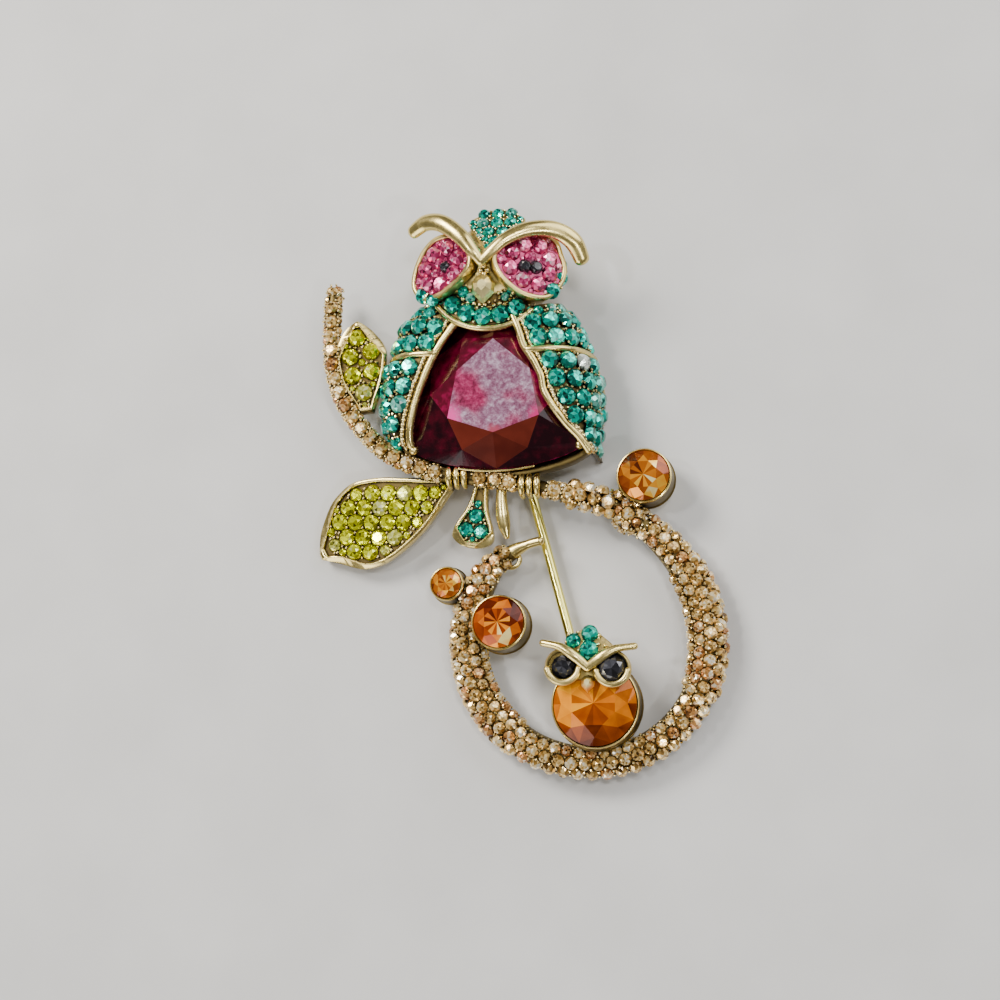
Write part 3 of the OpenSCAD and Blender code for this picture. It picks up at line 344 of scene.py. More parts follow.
def parts_of(bm):
    """A bmesh's points and faces; it is freed."""
    bm.verts.index_update()
    v, f = np.array([p.co[:] for p in bm.verts]), [[q.index for q in p.verts] for p in bm.faces]
    bm.free()
    return v, f


def ball(level):
    bm = bmesh.new()
    bmesh.ops.create_icosphere(bm, subdivisions=level, radius=1.0)
    return parts_of(bm)


GRAIN, BEAD = ball(1), ball(2)


def bead(s, at, r, mat=1):
    s.add(BEAD[0] * r + at, BEAD[1], mat)


def basis(n):
    n = unit(np.asarray(n, float))
    x = unit(np.cross([0, 0, 1], n)) if abs(n[2]) < 0.95 else unit(np.cross([0, 1, 0], n))
    return x, np.cross(n, x), n


def outline_normals(p):
    """The directions out of a closed outline at its points."""
    e = np.roll(p, -1, 0) - p
    n = np.stack([e[:, 1], -e[:, 0]], 1)
    n /= np.maximum(np.linalg.norm(n, axis=1, keepdims=True), 1e-9)
    m = n + np.roll(n, 1, 0)
    m /= np.maximum(np.linalg.norm(m, axis=1, keepdims=True), 1e-9)
    area = np.sum(p[:, 0] * np.roll(p[:, 1], -1) - np.roll(p[:, 0], -1) * p[:, 1])
    return m if area > 0 else -m


def stack(s, rings, mid, place):
    """Joins rings of (outline, height) into a body and closes its ends to the middle."""
    n = len(rings[0][0])
    pts = [[*q, z] for outline, z in rings for q in outline]
    faces = skin(len(rings), n)
    for end in (0, len(rings) - 1):
        pts.append([*mid, rings[end][1]])
        for j in range(n):
            a, b = end * n + j, end * n + (j + 1) % n
            faces.append([len(pts) - 1, a, b] if end else [len(pts) - 1, b, a])
    s.add(place(np.array(pts)), faces)


def dish(s, outline, profile, place):
    """Sweeps a profile of (offset from the outline, height) round a closed outline."""
    nrm = outline_normals(outline)
    stack(s, [(outline + nrm * off, z) for off, z in profile], outline.mean(0), place)


def circle(r, n=40):
    return np.array([flat(360 / n * k) * r for k in range(n)])


def lengths(path):
    return np.r_[0, np.cumsum(np.linalg.norm(np.diff(path, axis=0), axis=1))]


def resample(p, n, closed=False):
    if closed:
        p = np.vstack([p, p[:1]])
    d = lengths(p)
    x = np.linspace(0, d[-1], n + 1)[:-1] if closed else np.linspace(0, d[-1], n)
    return np.stack([np.interp(x, d, p[:, k]) for k in range(p.shape[1])], 1)


def hull(s, pts, mat=0):
    bm = bmesh.new()
    for p in pts:
        bm.verts.new(Vector(p))
    r = bmesh.ops.convex_hull(bm, input=bm.verts)
    inner = [g for g in r["geom_interior"] if isinstance(g, bmesh.types.BMVert)]
    bmesh.ops.delete(bm, geom=inner, context="VERTS")
    bmesh.ops.recalc_face_normals(bm, faces=bm.faces)
    s.add(*parts_of(bm), mat)


# Cut stones
def gem(s, at, n, d, mat=0, h=0.34, glow=0.0):
    """A flat-backed stone: table in wedges, star, kite and girdle facets, each toned with painted foil light.
    """
    spin = random.random() * 360
    r, top, low = d / 2, d * h, 0.05 * d
    pts = [[0, 0, top]]
    for count, start, wide, z in ((8, 22.5, 0.56, top), (8, 0, 0.81, low + (top - low) * 0.58),
                                  (16, 0, 1, low), (16, 0, 0.985, 0)):
        pts += [[*(flat(start + 360 / count * k + spin) * (r * wide)), z] for k in range(count)]
    T, S, G, B = 1, 9, 17, 33
    faces, tones = [], []
    ph = random.random()

    def put(f, t):
        faces.append(f)
        tones.append(min(max(t + glow, 0.02), 0.98))

    for k in range(8):
        t = (0.3 if k % 2 else 0.62) + 0.3 * (random.random() - 0.5)
        put([0, T + k, T + (k + 1) % 8], t + 0.22 * math.cos(2 * math.pi * (k / 8 + ph)))
    for k in range(8):
        k2 = (k + 1) % 8
        put([T + k, S + k2, T + k2], random.uniform(0.25, 0.95))
        kite = random.uniform(0.1, 0.85)
        put([S + k, G + 2 * k + 1, T + k], kite)
        put([T + k, G + 2 * k + 1, S + k2], kite)
        put([S + k, G + 2 * k, G + 2 * k + 1], random.uniform(0.0, 0.6))
        put([S + k2, G + 2 * k + 1, G + (2 * k + 2) % 16], random.uniform(0.0, 0.6))
    for k in range(16):
        k2 = (k + 1) % 16
        faces.append([G + k, B + k, B + k2, G + k2])
    faces.append([B + k for k in range(16)][::-1])
    s.add(np.array(pts) @ np.array(basis(n)) + at, faces, mat, tones + [0.12] * 16 + [0.05])


def cad_stones(solid):
    """The middle of the back, the normal and the diameter of each small stone of a solid, in mm."""
    me = nodes[solid].data
    co = np.array([v.co[:] for v in me.vertices]) / MM
    key = {}
    idx = [key.setdefault(tuple(c), len(key)) for c in np.round(co, 3)]
    uniq = np.zeros((len(key), 3))
    uniq[idx] = co
    parent = list(range(len(key)))

    def find(a):
        while parent[a] != a:
            a = parent[a]
        return a

    for p in me.polygons:
        for v in p.vertices[1:]:
            parent[find(idx[v])] = find(idx[p.vertices[0]])
    groups = {}
    for i in range(len(key)):
        groups.setdefault(find(i), []).append(i)
    out = []
    for g in groups.values():
        q = uniq[g]
        c = q.mean(0)
        side = (q - c) @ np.linalg.svd(q - c)[2][2]
        ends = [q[side > 0], q[side <= 0]]
        # the back is the larger ring of points
        r, back, front = [np.linalg.norm(e - e.mean(0), axis=1).mean() for e in ends], *ends
        if r[1] > r[0]:
            back, front = front, back
        out.append((back.mean(0) - OFF, unit(front.mean(0) - back.mean(0)), 2 * max(r)))
    out.sort(key=lambda b: (round(b[0][1], 2), round(b[0][0], 2)))
    return out


def swollen(solid, swell):
    return [(c, n, d * swell) for c, n, d in cad_stones(solid)]


def scatter_beads(s, stones, r, mat):
    """Grains of metal between stones, where two of them are near."""
    c = np.array([q[0] for q in stones])
    rad = np.array([q[2] / 2 for q in stones])
    placed = np.zeros((0, 3))
    for p, n, d in stones:
        x, y, z = basis(n)
        for k in range(12):
            q = p + (x * cosd(30 * k) + y * sind(30 * k)) * (d / 2 + r * 0.72)
            near = np.partition(np.linalg.norm(c - q, axis=1) - rad, 1)[:2]
            if near.min() < r * 0.5 or near.max() > r * 3.0:
                continue
            if len(placed) and np.linalg.norm(placed - q, axis=1).min() < 2.0 * r:
                continue
            placed = np.vstack([placed, q])
            s.add(GRAIN[0] * r @ np.array(basis(n)) + (q + z * 0.12), GRAIN[1], mat)


def field(solid, mats, slot, jitter=4.0, swell=1.03, extra=(), bead_r=0.2, odd=0.12, sink=0.04,
          pick=None):
    """Detailed stones where the solids are, with smaller ones and gold beads in the gaps between them."""
    s = Soup()
    every = swollen(solid, swell) + list(extra)
    rnd = random.Random(len(every) * 7 + int(bead_r * 100))
    for c, n, d in every:
        x, y, z = basis(n)
        tilt = unit(z + math.tan(math.radians(jitter)) * (rnd.uniform(-1, 1) * x + rnd.uniform(-1, 1) * y))
        mat = 1 if len(mats) > 2 and rnd.random() < odd else 0
        if pick:
            mat = pick(c, mat)
        gem(s, c - z * sink, tilt, d, mat, glow=rnd.uniform(-0.1, 0.1))
    if bead_r:
        scatter_beads(s, every, bead_r, len(mats) - 1)
    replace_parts(set_with(s, solid + "_cut", mats, slot, len(mats) - 1), solid)


def fill(points, normals, room, taken, sizes, gap):
    """Packs stones of falling sizes into the space that is left between the stones already there."""
    out = []
    clear_by = np.full(len(points), 1e9)
    for c, n, d in taken:
        clear_by = np.minimum(clear_by, np.linalg.norm(points - c, axis=1) - d / 2)
    for d in sizes:
        while True:
            ok = (clear_by >= d / 2 + gap) & (room >= d / 2)
            if not ok.any():
                break
            i = int(np.argmin(np.where(ok, clear_by, np.inf)))
            out.append((points[i], normals[i], d))
            clear_by = np.minimum(clear_by, np.linalg.norm(points - points[i], axis=1) - d / 2)
    return out


def inside(poly, pts):
    x, y = pts.T
    hit = np.zeros(len(pts), bool)
    for (x0, y0), (x1, y1) in zip(poly, np.roll(poly, -1, 0)):
        hit ^= ((y0 > y) != (y1 > y)) & (x < (x1 - x0) * (y - y0) / (y1 - y0 + 1e-15) + x0)
    return hit


def tray_field(solid, mats, slot, outline, place, sizes, edge, swell, beside=(), gap=0.05, **finish):
    """A field of stones on a flat tray, with smaller ones in its gaps, as high as the solids lie."""
    lift = float(np.median([((c - place.at) @ place.turn)[2] for c, n, d in cad_stones(solid)]))
    step = 0.11
    lo, hi = outline.min(0), outline.max(0)
    gx, gy = np.meshgrid(np.arange(lo[0], hi[0], step), np.arange(lo[1], hi[1], step))
    grid = np.stack([gx.ravel(), gy.ravel()], 1)
    grid = grid[inside(outline, grid)]
    fine = resample(outline, 400, closed=True)
    room = np.min(np.linalg.norm(grid[:, None] - fine[None], axis=2), axis=1) - edge
    normals = np.tile(place.turn @ V(0, 0, 1), (len(grid), 1))
    more = fill(place(np.c_[grid, np.full(len(grid), lift)]), normals, room,
                swollen(solid, swell) + list(beside), sizes, gap)
    field(solid, mats, slot, swell=swell, extra=more, **finish)


# Materials
def feed(nt, n, inputs):
    """Links an input to the socket that it is given, or sets its number or colour."""
    for key, value in inputs.items():
        if isinstance(value, bpy.types.NodeSocket):
            nt.links.new(value, n.inputs[key])
        else:
            n.inputs[key].default_value = value


def node(nt, kind, inputs, output, **settings):
    """A new node's output socket."""
    n = nt.nodes.new("ShaderNode" + kind)
    for key, value in settings.items():
        setattr(n, key, value)
    feed(nt, n, inputs)
    return n.outputs[output]


def material(name):
    mat = bpy.data.materials.new(name)
    mat.use_nodes = True
    nt = mat.node_tree
    return mat, nt, nt.nodes["Principled BSDF"], node(nt, "TexCoord", {}, "Object")


def noise(nt, at, scale, detail, rough=0.5, warp=0.0):
    inputs = {"Vector": at, "Scale": scale, "Detail": detail, "Roughness": rough, "Distortion": warp}
    return node(nt, "TexNoise", inputs, "Fac")


def calc(nt, operation, *inputs, **settings):
    return node(nt, "Math", dict(enumerate(inputs)), 0, operation=operation, **settings)


def soft_step(nt, value, low, high):
    """A soft step from low to high."""
    inputs = {"Value": value, "From Min": low, "From Max": high}
    return node(nt, "MapRange", inputs, "Result", interpolation_type="SMOOTHSTEP")


def blend(nt, share, a, b):
    """A colour mix; a and b are sockets or plain colours."""
    share_in, a_in, b_in, colour_out = 0, 6, 7, 2
    return node(nt, "Mix", {share_in: share, a_in: a, b_in: b}, colour_out, data_type="RGBA")


def ramp(nt, share, *stops):
    """A colour ramp; each stop is its position, red, green and blue."""
    r = nt.nodes.new("ShaderNodeValToRGB")
    while len(r.color_ramp.elements) < len(stops):
        r.color_ramp.elements.new(0.5)
    for e, (at, *colour) in zip(r.color_ramp.elements, stops):
        e.position = at
        e.color = (*colour, 1)
    feed(nt, r, {"Fac": share})
    return r.outputs["Color"]


def metal(name, bright, mid, dark, rough=(0.2, 0.42), grain=0.5, reach=0.9):
    """Plated cast metal: bright on the crests, brown-black in the recesses, finely grained."""
    mat, nt, shader, at = material(name)
    big = noise(nt, at, 520.0, 5.0, 0.6)
    fine = noise(nt, at, 3200.0, 3.0, 0.6)
    open_ = node(nt, "AmbientOcclusion", {"Distance": reach * MM}, "AO", samples=6)
    share = calc(nt, "MULTIPLY_ADD", big, 0.3, open_)
    inputs = {"Value": big, "From Min": 0.3, "From Max": 0.7, "To Min": rough[0], "To Max": rough[1]}
    height = calc(nt, "MULTIPLY_ADD", fine, 0.3, calc(nt, "MULTIPLY", big, 0.3))
    feed(nt, shader, {
        "Metallic": 1.0,
        "Base Color": ramp(nt, share, (0.32, *dark), (0.62, *mid), (0.98, *bright)),
        "Roughness": node(nt, "MapRange", inputs, "Result"),
        "Normal": node(nt, "Bump", {"Strength": grain, "Distance": 0.02 * MM, "Height": height}, "Normal")})
    return mat


def foil(name, *stops, metallic=0.6, rough=0.14, spread=0.22, scale=900.0, ior=1.5, coat=0.5):
    """Foil-backed cut glass, clear polished coat: each facet's tone is a painted reflection off the foil."""
    mat, nt, shader, at = material(name)
    tone = node(nt, "Attribute", {}, "Fac", attribute_name="tone")
    drift = calc(nt, "SUBTRACT", noise(nt, at, scale, 2.0), 0.5)
    facet_light = calc(nt, "MULTIPLY_ADD", drift, spread * 2, tone, use_clamp=True)
    feed(nt, shader, {"Base Color": ramp(nt, facet_light, *stops), "Metallic": metallic, "Roughness": rough,
                      "IOR": ior, "Coat Weight": coat, "Coat Roughness": 0.03, "Coat IOR": 1.5})
    return mat


def table_with_painted_light(name, spots):
    """The big stone's table: a mottled wine-dark foil seen through the glass, under a painted grey-lilac
    reflection.
    """
    mat, nt, shader, at = material(name)
    mottle = noise(nt, at, 1300.0, 9.0, 0.82, 0.1)
    drift = noise(nt, at, 170.0, 2.0)
    deep = ramp(nt, mottle, (0.36, 0.06, 0.001, 0.012), (0.5, 0.27, 0.012, 0.07), (0.66, 0.50, 0.08, 0.19))
    painted_reflection = ramp(nt, mottle, (0.36, 0.11, 0.02, 0.055), (0.5, 0.26, 0.12, 0.19), (0.66, 0.54, 0.42, 0.52))
    # painted reflection: grey-lilac over the foil where the slow noise is high
    last = blend(nt, soft_step(nt, drift, 0.40, 0.56), deep, painted_reflection)
    # coloured spots at given corners; the bright pink one is a painted highlight
    for spot, reach, colour in spots:
        away = node(nt, "VectorMath", {0: at, 1: spot * MM}, "Value", operation="DISTANCE")
        wave = calc(nt, "MULTIPLY_ADD", mottle, 1.6 * MM, away)
        near = soft_step(nt, wave, (reach + 1.2) * MM, (reach * 0.35 + 0.8) * MM)
        last = blend(nt, near, last, (*colour, 1))
    feed(nt, shader, {"Base Color": last, "Roughness": 0.2, "Metallic": 0.1,
                      "Coat Weight": 0.4, "Coat Roughness": 0.03, "Coat IOR": 1.6})
    return mat


gold = metal("antique_gold", (0.74, 0.58, 0.22), (0.42, 0.31, 0.09), (0.03, 0.02, 0.007))
gold_smooth = metal("antique_gold_polished", (0.82, 0.65, 0.24), (0.52, 0.39, 0.13), (0.05, 0.034, 0.012),
                    rough=(0.16, 0.34), grain=0.3)
gold_dark = metal("antique_gold_patina", (0.16, 0.115, 0.04), (0.06, 0.042, 0.016), (0.01, 0.007, 0.004),
                  rough=(0.3, 0.5), grain=0.6)
gold_bead = metal("antique_gold_beads", (0.8, 0.64, 0.3), (0.46, 0.34, 0.12), (0.05, 0.035, 0.014),
                  rough=(0.14, 0.28), grain=0.12, reach=0.5)
brass = metal("bright_brass", (0.9, 0.8, 0.2), (0.72, 0.62, 0.12), (0.24, 0.2, 0.03),
              rough=(0.12, 0.22), grain=0.06)
pale_gold = metal("pale_gold", (1, 0.86, 0.4), (0.86, 0.68, 0.24), (0.24, 0.16, 0.05),
                  rough=(0.26, 0.4), grain=0.15)
# Each ramp runs from the glass's darkest colour up to near white, a painted glint off the foil
teal = foil("teal_glass", (0, 0, 0.025, 0.02), (0.3, 0, 0.2, 0.15), (0.6, 0, 0.56, 0.42),
            (0.85, 0, 0.88, 0.68), (1, 0.5, 1, 0.88), metallic=0.72, coat=0.28)
sea = foil("sea_glass", (0, 0, 0.05, 0.04), (0.3, 0.02, 0.26, 0.2), (0.6, 0.1, 0.62, 0.48),
           (0.85, 0.45, 0.92, 0.78), (1, 0.95, 1, 0.96))
rose = foil("rose_glass", (0, 0.1, 0.003, 0.024), (0.3, 0.42, 0.02, 0.11), (0.6, 0.8, 0.1, 0.28),
            (0.85, 0.97, 0.36, 0.51), (1, 1, 0.88, 0.91))
blush = foil("blush_glass", (0, 0.2, 0.02, 0.05), (0.4, 0.75, 0.22, 0.32), (0.8, 0.97, 0.58, 0.66),
             (1, 1, 0.97, 0.97))
peridot = foil("peridot_glass", (0, 0.07, 0.065, 0), (0.3, 0.44, 0.44, 0), (0.6, 0.86, 0.9, 0),
               (0.85, 0.95, 1, 0), (1, 1, 1, 0.5), metallic=0.75, coat=0.25)
pale_peridot = foil("pale_peridot_glass", (0, 0.07, 0.07, 0), (0.4, 0.5, 0.5, 0.05),
                    (0.8, 0.88, 0.88, 0.3), (1, 1, 1, 0.8))
champagne = foil("champagne_glass", (0, 0.06, 0.028, 0.005), (0.3, 0.42, 0.23, 0.05), (0.58, 0.9, 0.6, 0.2),
                 (0.8, 1, 0.8, 0.42), (1, 1, 0.98, 0.86), spread=0.45)
peach = foil("peach_glass", (0, 0.05, 0.016, 0.004), (0.3, 0.34, 0.135, 0.03), (0.6, 0.72, 0.36, 0.11),
             (0.82, 0.94, 0.62, 0.28), (1, 1, 0.94, 0.78), spread=0.32)
jet = foil("jet_glass", (0, 0.002, 0.002, 0.003), (0.5, 0.012, 0.012, 0.016), (0.85, 0.05, 0.05, 0.06),
           (1, 0.4, 0.4, 0.42), metallic=0.1)
clear = foil("clear_glass", (0, 0.08, 0.1, 0.08), (0.35, 0.4, 0.46, 0.4), (0.7, 0.72, 0.78, 0.7),
             (1, 1, 1, 0.97))
ruby = foil("ruby_glass", (0, 0.01, 0, 0.002), (0.25, 0.04, 0, 0.005), (0.5, 0.09, 0.001, 0.013),
            (0.72, 0.27, 0.003, 0.055), (0.9, 0.78, 0.03, 0.28), (1, 0.95, 0.4, 0.58),
            metallic=0.15, spread=0.5, scale=760, ior=1.38, coat=0.12)
ember = foil("ruby_ember_glass", (0, 0.02, 0.001, 0.001), (0.4, 0.07, 0.008, 0.004),
             (0.7, 0.15, 0.022, 0.012), (1, 0.28, 0.05, 0.03),
             metallic=0.15, spread=0.25, scale=300, ior=1.38, coat=0.12)
amber = foil("amber_glass", (0, 0.09, 0.012, 0), (0.25, 0.28, 0.05, 0.001), (0.5, 0.58, 0.155, 0.003),
             (0.75, 0.86, 0.31, 0.008), (0.92, 1, 0.52, 0.03), (1, 1, 0.88, 0.4),
             metallic=0.5, spread=0.16, scale=450)
honey = foil("honey_amber_glass", (0, 0.08, 0.01, 0), (0.25, 0.26, 0.044, 0), (0.5, 0.6, 0.155, 0),
             (0.75, 0.9, 0.31, 0), (0.92, 1, 0.47, 0.004), (1, 1, 0.8, 0.2),
             metallic=0.1, rough=0.1, spread=0.18, scale=450, ior=1.3, coat=0.08)
fire = foil("fire_amber_glass", (0, 0.04, 0.004, 0), (0.25, 0.14, 0.015, 0.001), (0.5, 0.36, 0.055, 0.003),
            (0.75, 0.7, 0.17, 0.006), (0.92, 0.95, 0.4, 0.02), (1, 1, 0.8, 0.3),
            metallic=0.25, spread=0.16, scale=450, ior=1.34, coat=0.1)


def ruby_table_r(k):
    return ruby_w * (0.285 if k % 2 else 0.228)


# spots at three of the table's corners; the bright pink one is a painted highlight
pink_corner, brown_corner, right_corner = (
    ruby_c + OFF + polar(30 + 60 * k, ruby_table_r(k), ruby_crown_h) for k in (3, 4, 5))
ruby_table = table_with_painted_light("ruby_table_glass", [(pink_corner, 1.9, (0.80, 0.06, 0.32)),
                                         (right_corner, 1.3, (0.50, 0.02, 0.15)),
                                         (brown_corner, 1.0, (0.34, 0.05, 0.09))])
TEALS = [teal, sea, gold_bead]
PERIDOTS = [peridot, pale_peridot, gold_bead]
CHAMPAGNES = [champagne, peach, gold_bead]


# Ring and branch
def metal_path(path, sink):
    """The metal under the stones: the solid's section, less what the stones add where it is broad."""
    cover = np.clip(path[:, 3] - 2.0, 0, 1) * sink
    return path[:, :3], path[:, 3] * 0.965 - 2 * cover, path[:, 4] * 0.965 - 2 * cover


ring_p, ring_w, ring_h = metal_path(ring_path, 0.34)
branch_p, branch_w, branch_h = metal_path(branch_path, 0.0)
branch_w, branch_h = branch_w * 0.94, branch_h * 0.94
whole = np.vstack([ring_p, branch_p[4:]])
whole_w, whole_h = np.r_[ring_w, branch_w[4:]], np.r_[ring_h, branch_h[4:]]
bare = int(np.argmax(ring_path[:, 3] > 0.42 * band_w))
s = Soup()
tube(s, whole[:bare + 1], np.maximum(whole_w[:bare + 1], 1.15), np.maximum(whole_h[:bare + 1], 1.1), sides=32)
loop_at = whole[bare] * V(1, 1, 0) + V(-0.35, -1.0, whole[bare][2] - 0.3)
wire(s, [loop_at + polar(a, V(1.1, 0.95), 0) for a in np.linspace(0, 360, 33)], d=0.6, sides=10)
tube(s, whole[bare:], whole_w[bare:], whole_h[bare:], sides=32, mat=1)
cast(s, "ring_and_branch", [gold_smooth, gold_dark], 60)


def lattice(path, w, h, start, end, d, pitch, across_rows, widest=84, top=108.0):
    """Staggered rows of stones round a tube; outer rows are longer, so their stones are larger."""
    line, l, out, j = frames(path), lengths(path), [], 0
    rnd = random.Random(91)
    while l[start] + j * pitch < l[end]:
        for k in across_rows:
            x = l[start] + (j + 0.5 * (k % 2) + 0.25) * pitch
            if x > l[end]:
                continue
            i = min(max(int(np.searchsorted(l, x)) - 1, 0), len(l) - 2)
            f = (x - l[i]) / (l[i + 1] - l[i])
            wide, high = between(w[i], w[i + 1], f), between(h[i], h[i + 1], f)
            turn = k * math.degrees(pitch * 0.86 / (wide / 2))
            if abs(turn) > widest:
                continue
            a = math.radians(top + turn + rnd.uniform(-1.5, 1.5))
            c, s_ = math.cos(a), math.sin(a)
            across, up = (unit(between(line[i][e], line[i + 1][e], f)) for e in (1, 2))
            p = between(path[i], path[i + 1], f) + across * c * wide / 2 + up * s_ * high / 2
            n = unit(across * c / (wide / 2) + up * s_ / (high / 2))
            out.append((p, n, d * (1 - c * wide / 2 / ring_r) * rnd.uniform(0.96, 1.03)))
        j += 1
    return out


first = int(np.argmax(ring_path[:, 3] > 0.44 * band_w))
last_wide = int(np.flatnonzero(ring_path[:, 3] > 0.7 * band_w)[-1])
ring_stones = lattice(ring_p, ring_w, ring_h, first, last_wide, d=1.58, pitch=1.6, across_rows=range(-2, 3))
# the neck, between the ring and the branch's larger stones
neck_n = int(np.sum(branch_p[:, 0] > max(q[0][0] for q in cad_stones("branch_stones")) + 0.15))
neck_p = np.vstack([ring_p[last_wide:], branch_p[:neck_n]])
neck_w = np.r_[ring_w[last_wide:], branch_w[:neck_n]]
neck_h = np.r_[ring_h[last_wide:], branch_h[:neck_n]]
neck_stones = lattice(neck_p, neck_w + 0.5, neck_h + 0.2, 1, len(neck_p) - 1, d=1.75, pitch=1.72,
                      across_rows=range(-1, 2), widest=75, top=90)
# a rosette where the branch leaves the ring: one stone with smaller ones round it
rose_at, rose_h = neck_p[3], neck_h[3] / 2
rosette = [(rose_at + V(0, 0, rose_h + 0.5), unit(V(0.1, 0.05, 1)), 1.7)]
for count, turn, out, z, lean, up, d in (
        (7, 0, 1.42, 0.14, 0.5, 1, 1.25), (11, 12, 1.92, -0.8, 0.9, 0.8, 1.2)):
    for k in range(count):
        q = flat(360 / count * k + turn) * out
        rosette.append((rose_at + V(*q, rose_h + z), unit(V(*(q * lean), up)), d))
ring_all = [q for q in ring_stones + neck_stones
            if np.linalg.norm(q[0][:2] - rose_at[:2]) > 2.35 or q[0][2] < rose_at[2] - 1.0] + rosette
s = Soup()
rnd = random.Random(17)
dome_w = [3.3, 3.1, 1.4]
dome = [rose_at + V(0, 0, z) for z in (0.0, rose_h - 1.0, rose_h - 0.45)]
tube(s, dome, dome_w, dome_w, sides=24, mat=3, up=(0, 1, 0))
for c, n, d in ring_all:
    x, y, z = basis(n)
    tilt = unit(n + 0.11 * (rnd.uniform(-1, 1) * x + rnd.uniform(-1, 1) * y))
    gem(s, c - n * 0.05, tilt, d, 1 if rnd.random() < 0.2 else 0, glow=rnd.uniform(-0.14, 0.2), h=0.42)
scatter_beads(s, ring_all, 0.2, 2)
set_with(s, "ring_stones", CHAMPAGNES + [gold_dark], "champagne_glass", 2)


def side_rows(path, w, h, first, last, d, pitch):
    """A row of stones along each side of a tube's top, between two of its points."""
    line, out = frames(path), []
    for k, phi in enumerate((32, 148)):
        c, s_ = cosd(phi), sind(phi)
        pts = np.array([p + f[1] * c * a / 2 + f[2] * s_ * b / 2 for p, f, a, b in zip(path, line, w, h)])
        nrm = np.array([unit(f[1] * c / (a / 2) + f[2] * s_ / (b / 2)) for f, a, b in zip(line, w, h)])
        l = lengths(pts[first:last + 1])
        x = pitch * (0.6 if k else 0.1)
        while x < l[-1] - 0.2 * pitch:
            i = int(np.searchsorted(l, x, side="right")) - 1
            f = (x - l[i]) / (l[i + 1] - l[i])
            i += first
            out.append((between(pts[i], pts[i + 1], f), unit(between(nrm[i], nrm[i + 1], f)),
                        d * random.uniform(0.95, 1.03)))
            x += pitch * random.uniform(0.985, 1.02)
    return out


foot_x = [branch_at(t)[0] for t in feet_at]
tip_n = 215
side = [q for q in side_rows(branch_p, branch_w, branch_h, neck_n + 1, tip_n, d=1.15, pitch=1.35)
        if min(abs(q[0][0] - x) for x in foot_x) > 1.75]
side.append((branch_at(0.985) + V(0, 0.1, branch_d / 2 * 0.8), unit(V(0, 0.6, 1)), 1.3))
field("branch_stones", CHAMPAGNES, "champagne_glass", extra=side, bead_r=0.17, jitter=6, odd=0.2)


# Large stones and their settings
def facet_stone(solid, at, edge, table_r, crown_h, back_h, mats, slot, sides, first, seed, tones, shade,
                ember_at=lambda k: 0):
    """A large stone. Its table is plain where it has a material of its own, the second; other tables show
    a painted pattern of light off the foiled back, and shade adds painted light and shade by direction.
    The facets at ember_at have the third."""
    rnd = random.Random(seed)
    s = Soup()
    step, waist = 360 / sides, 0.2

    def P(a, r, z):
        return [*(flat(a) * r), z]

    def put(pts, t, m=0):
        # painted light and shade by direction round the stone, on the first material's facets
        if not m:
            t += shade(np.mean(pts, axis=0))
        s.add(np.array(pts) + at, [list(range(len(pts)))], m, [min(max(t, 0.01), 0.99)])

    def u(key):
        return rnd.uniform(*tones[key])

    T = [P(first + step * k, table_r(k), crown_h) for k in range(sides)]
    if len(mats) > 1:
        put(T, 0.5, 1)
    else:
        mid = P(0, 0, crown_h)
        for k in range(sides):
            k2 = (k + 1) % sides
            halfway = P(first + step * (k + 0.5), cosd(step / 2) * (table_r(k) + table_r(k2)) / 2, crown_h)
            put([mid, T[k], halfway], u("wedge"))
            put([mid, halfway, T[k2]], u("rim"))
    S = [P(a, edge(a) * 0.8, crown_h * 0.5) for a in (first + step * (k + 0.5) for k in range(sides))]
    for k in range(sides):
        put([T[k], S[k], T[(k + 1) % sides]], u("star"), ember_at(k))
    n = 12
    for k in range(sides):
        before = S[(k - 1) % sides]
        turns = [first + step * k - step / 2 + step / n * j for j in range(n + 1)]
        g = [P(a, edge(a), waist / 2) for a in turns]
        kite = u("kite")
        m = ember_at(k + 0.5)
        put([T[k], before, g[n // 2]], kite, m)
        put([T[k], g[n // 2], S[k]], kite + rnd.uniform(-0.05, 0.05), m)
        for j in range(n):
            if j % (n // 2) == 0:
                low = u("low")
            put([before if j < n // 2 else S[k], g[j], g[j + 1]], low)
    m = 96
    ring, belt, back = ([P(360 / m * j, edge(360 / m * j) * wide, z) for j in range(m)]
                        for wide, z in ((1, waist / 2), (1, -waist / 2), (0.6, -back_h)))
    for j in range(m):
        j2 = (j + 1) % m
        put([ring[j], belt[j], belt[j2], ring[j2]], 0.85)
        put([belt[j], back[j], back[j2], belt[j2]], 0.2)
    put(back[::-1], 0.1)
    o = s.make(solid + "_cut", mats, None, slot)
    turn_out(o, 1e-6)
    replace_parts(o, solid)


def ruby_shade(q):
    """Painted light and shade: magenta light at the left, dark wine to the right and below."""
    a = math.degrees(math.atan2(q[1], q[0])) % 360
    return 0.02 * max(cosd(a - 175), 0) ** 3 if 5.5 < math.hypot(q[0], q[1]) < 8.2 else -0.12


facet_stone("ruby_stone", ruby_c, ruby_edge, ruby_table_r, ruby_crown_h, ruby_back_h,
            [ruby, ruby_table, ember], "ruby_glass", sides=6, first=30, seed=5,
            tones=dict(star=(0.28, 0.56), kite=(0.12, 0.5), low=(0.1, 0.42)), shade=ruby_shade,
            ember_at=lambda k: 2 if k in (3, 4, 4.5) else 0)

s = Soup()
on_ruby = Place(ruby_c * V(1, 1, 0))
stone_z, low_top = ruby_c[2], branch_z + branch_d * 0.45
dish(s, np.array([flat(3 * i) * ruby_edge(3 * i) for i in range(120)]),
     [(0.6, back_z), (0.95, back_z + 0.25), (0.98, low_top - 0.35), (0.86, low_top - 0.08), (0.6, low_top),
      (0.3, low_top - 0.1), (0.12, low_top - 0.4), (0.1, stone_z - 1.3), (-1.6, stone_z - 1.9)], on_ruby)
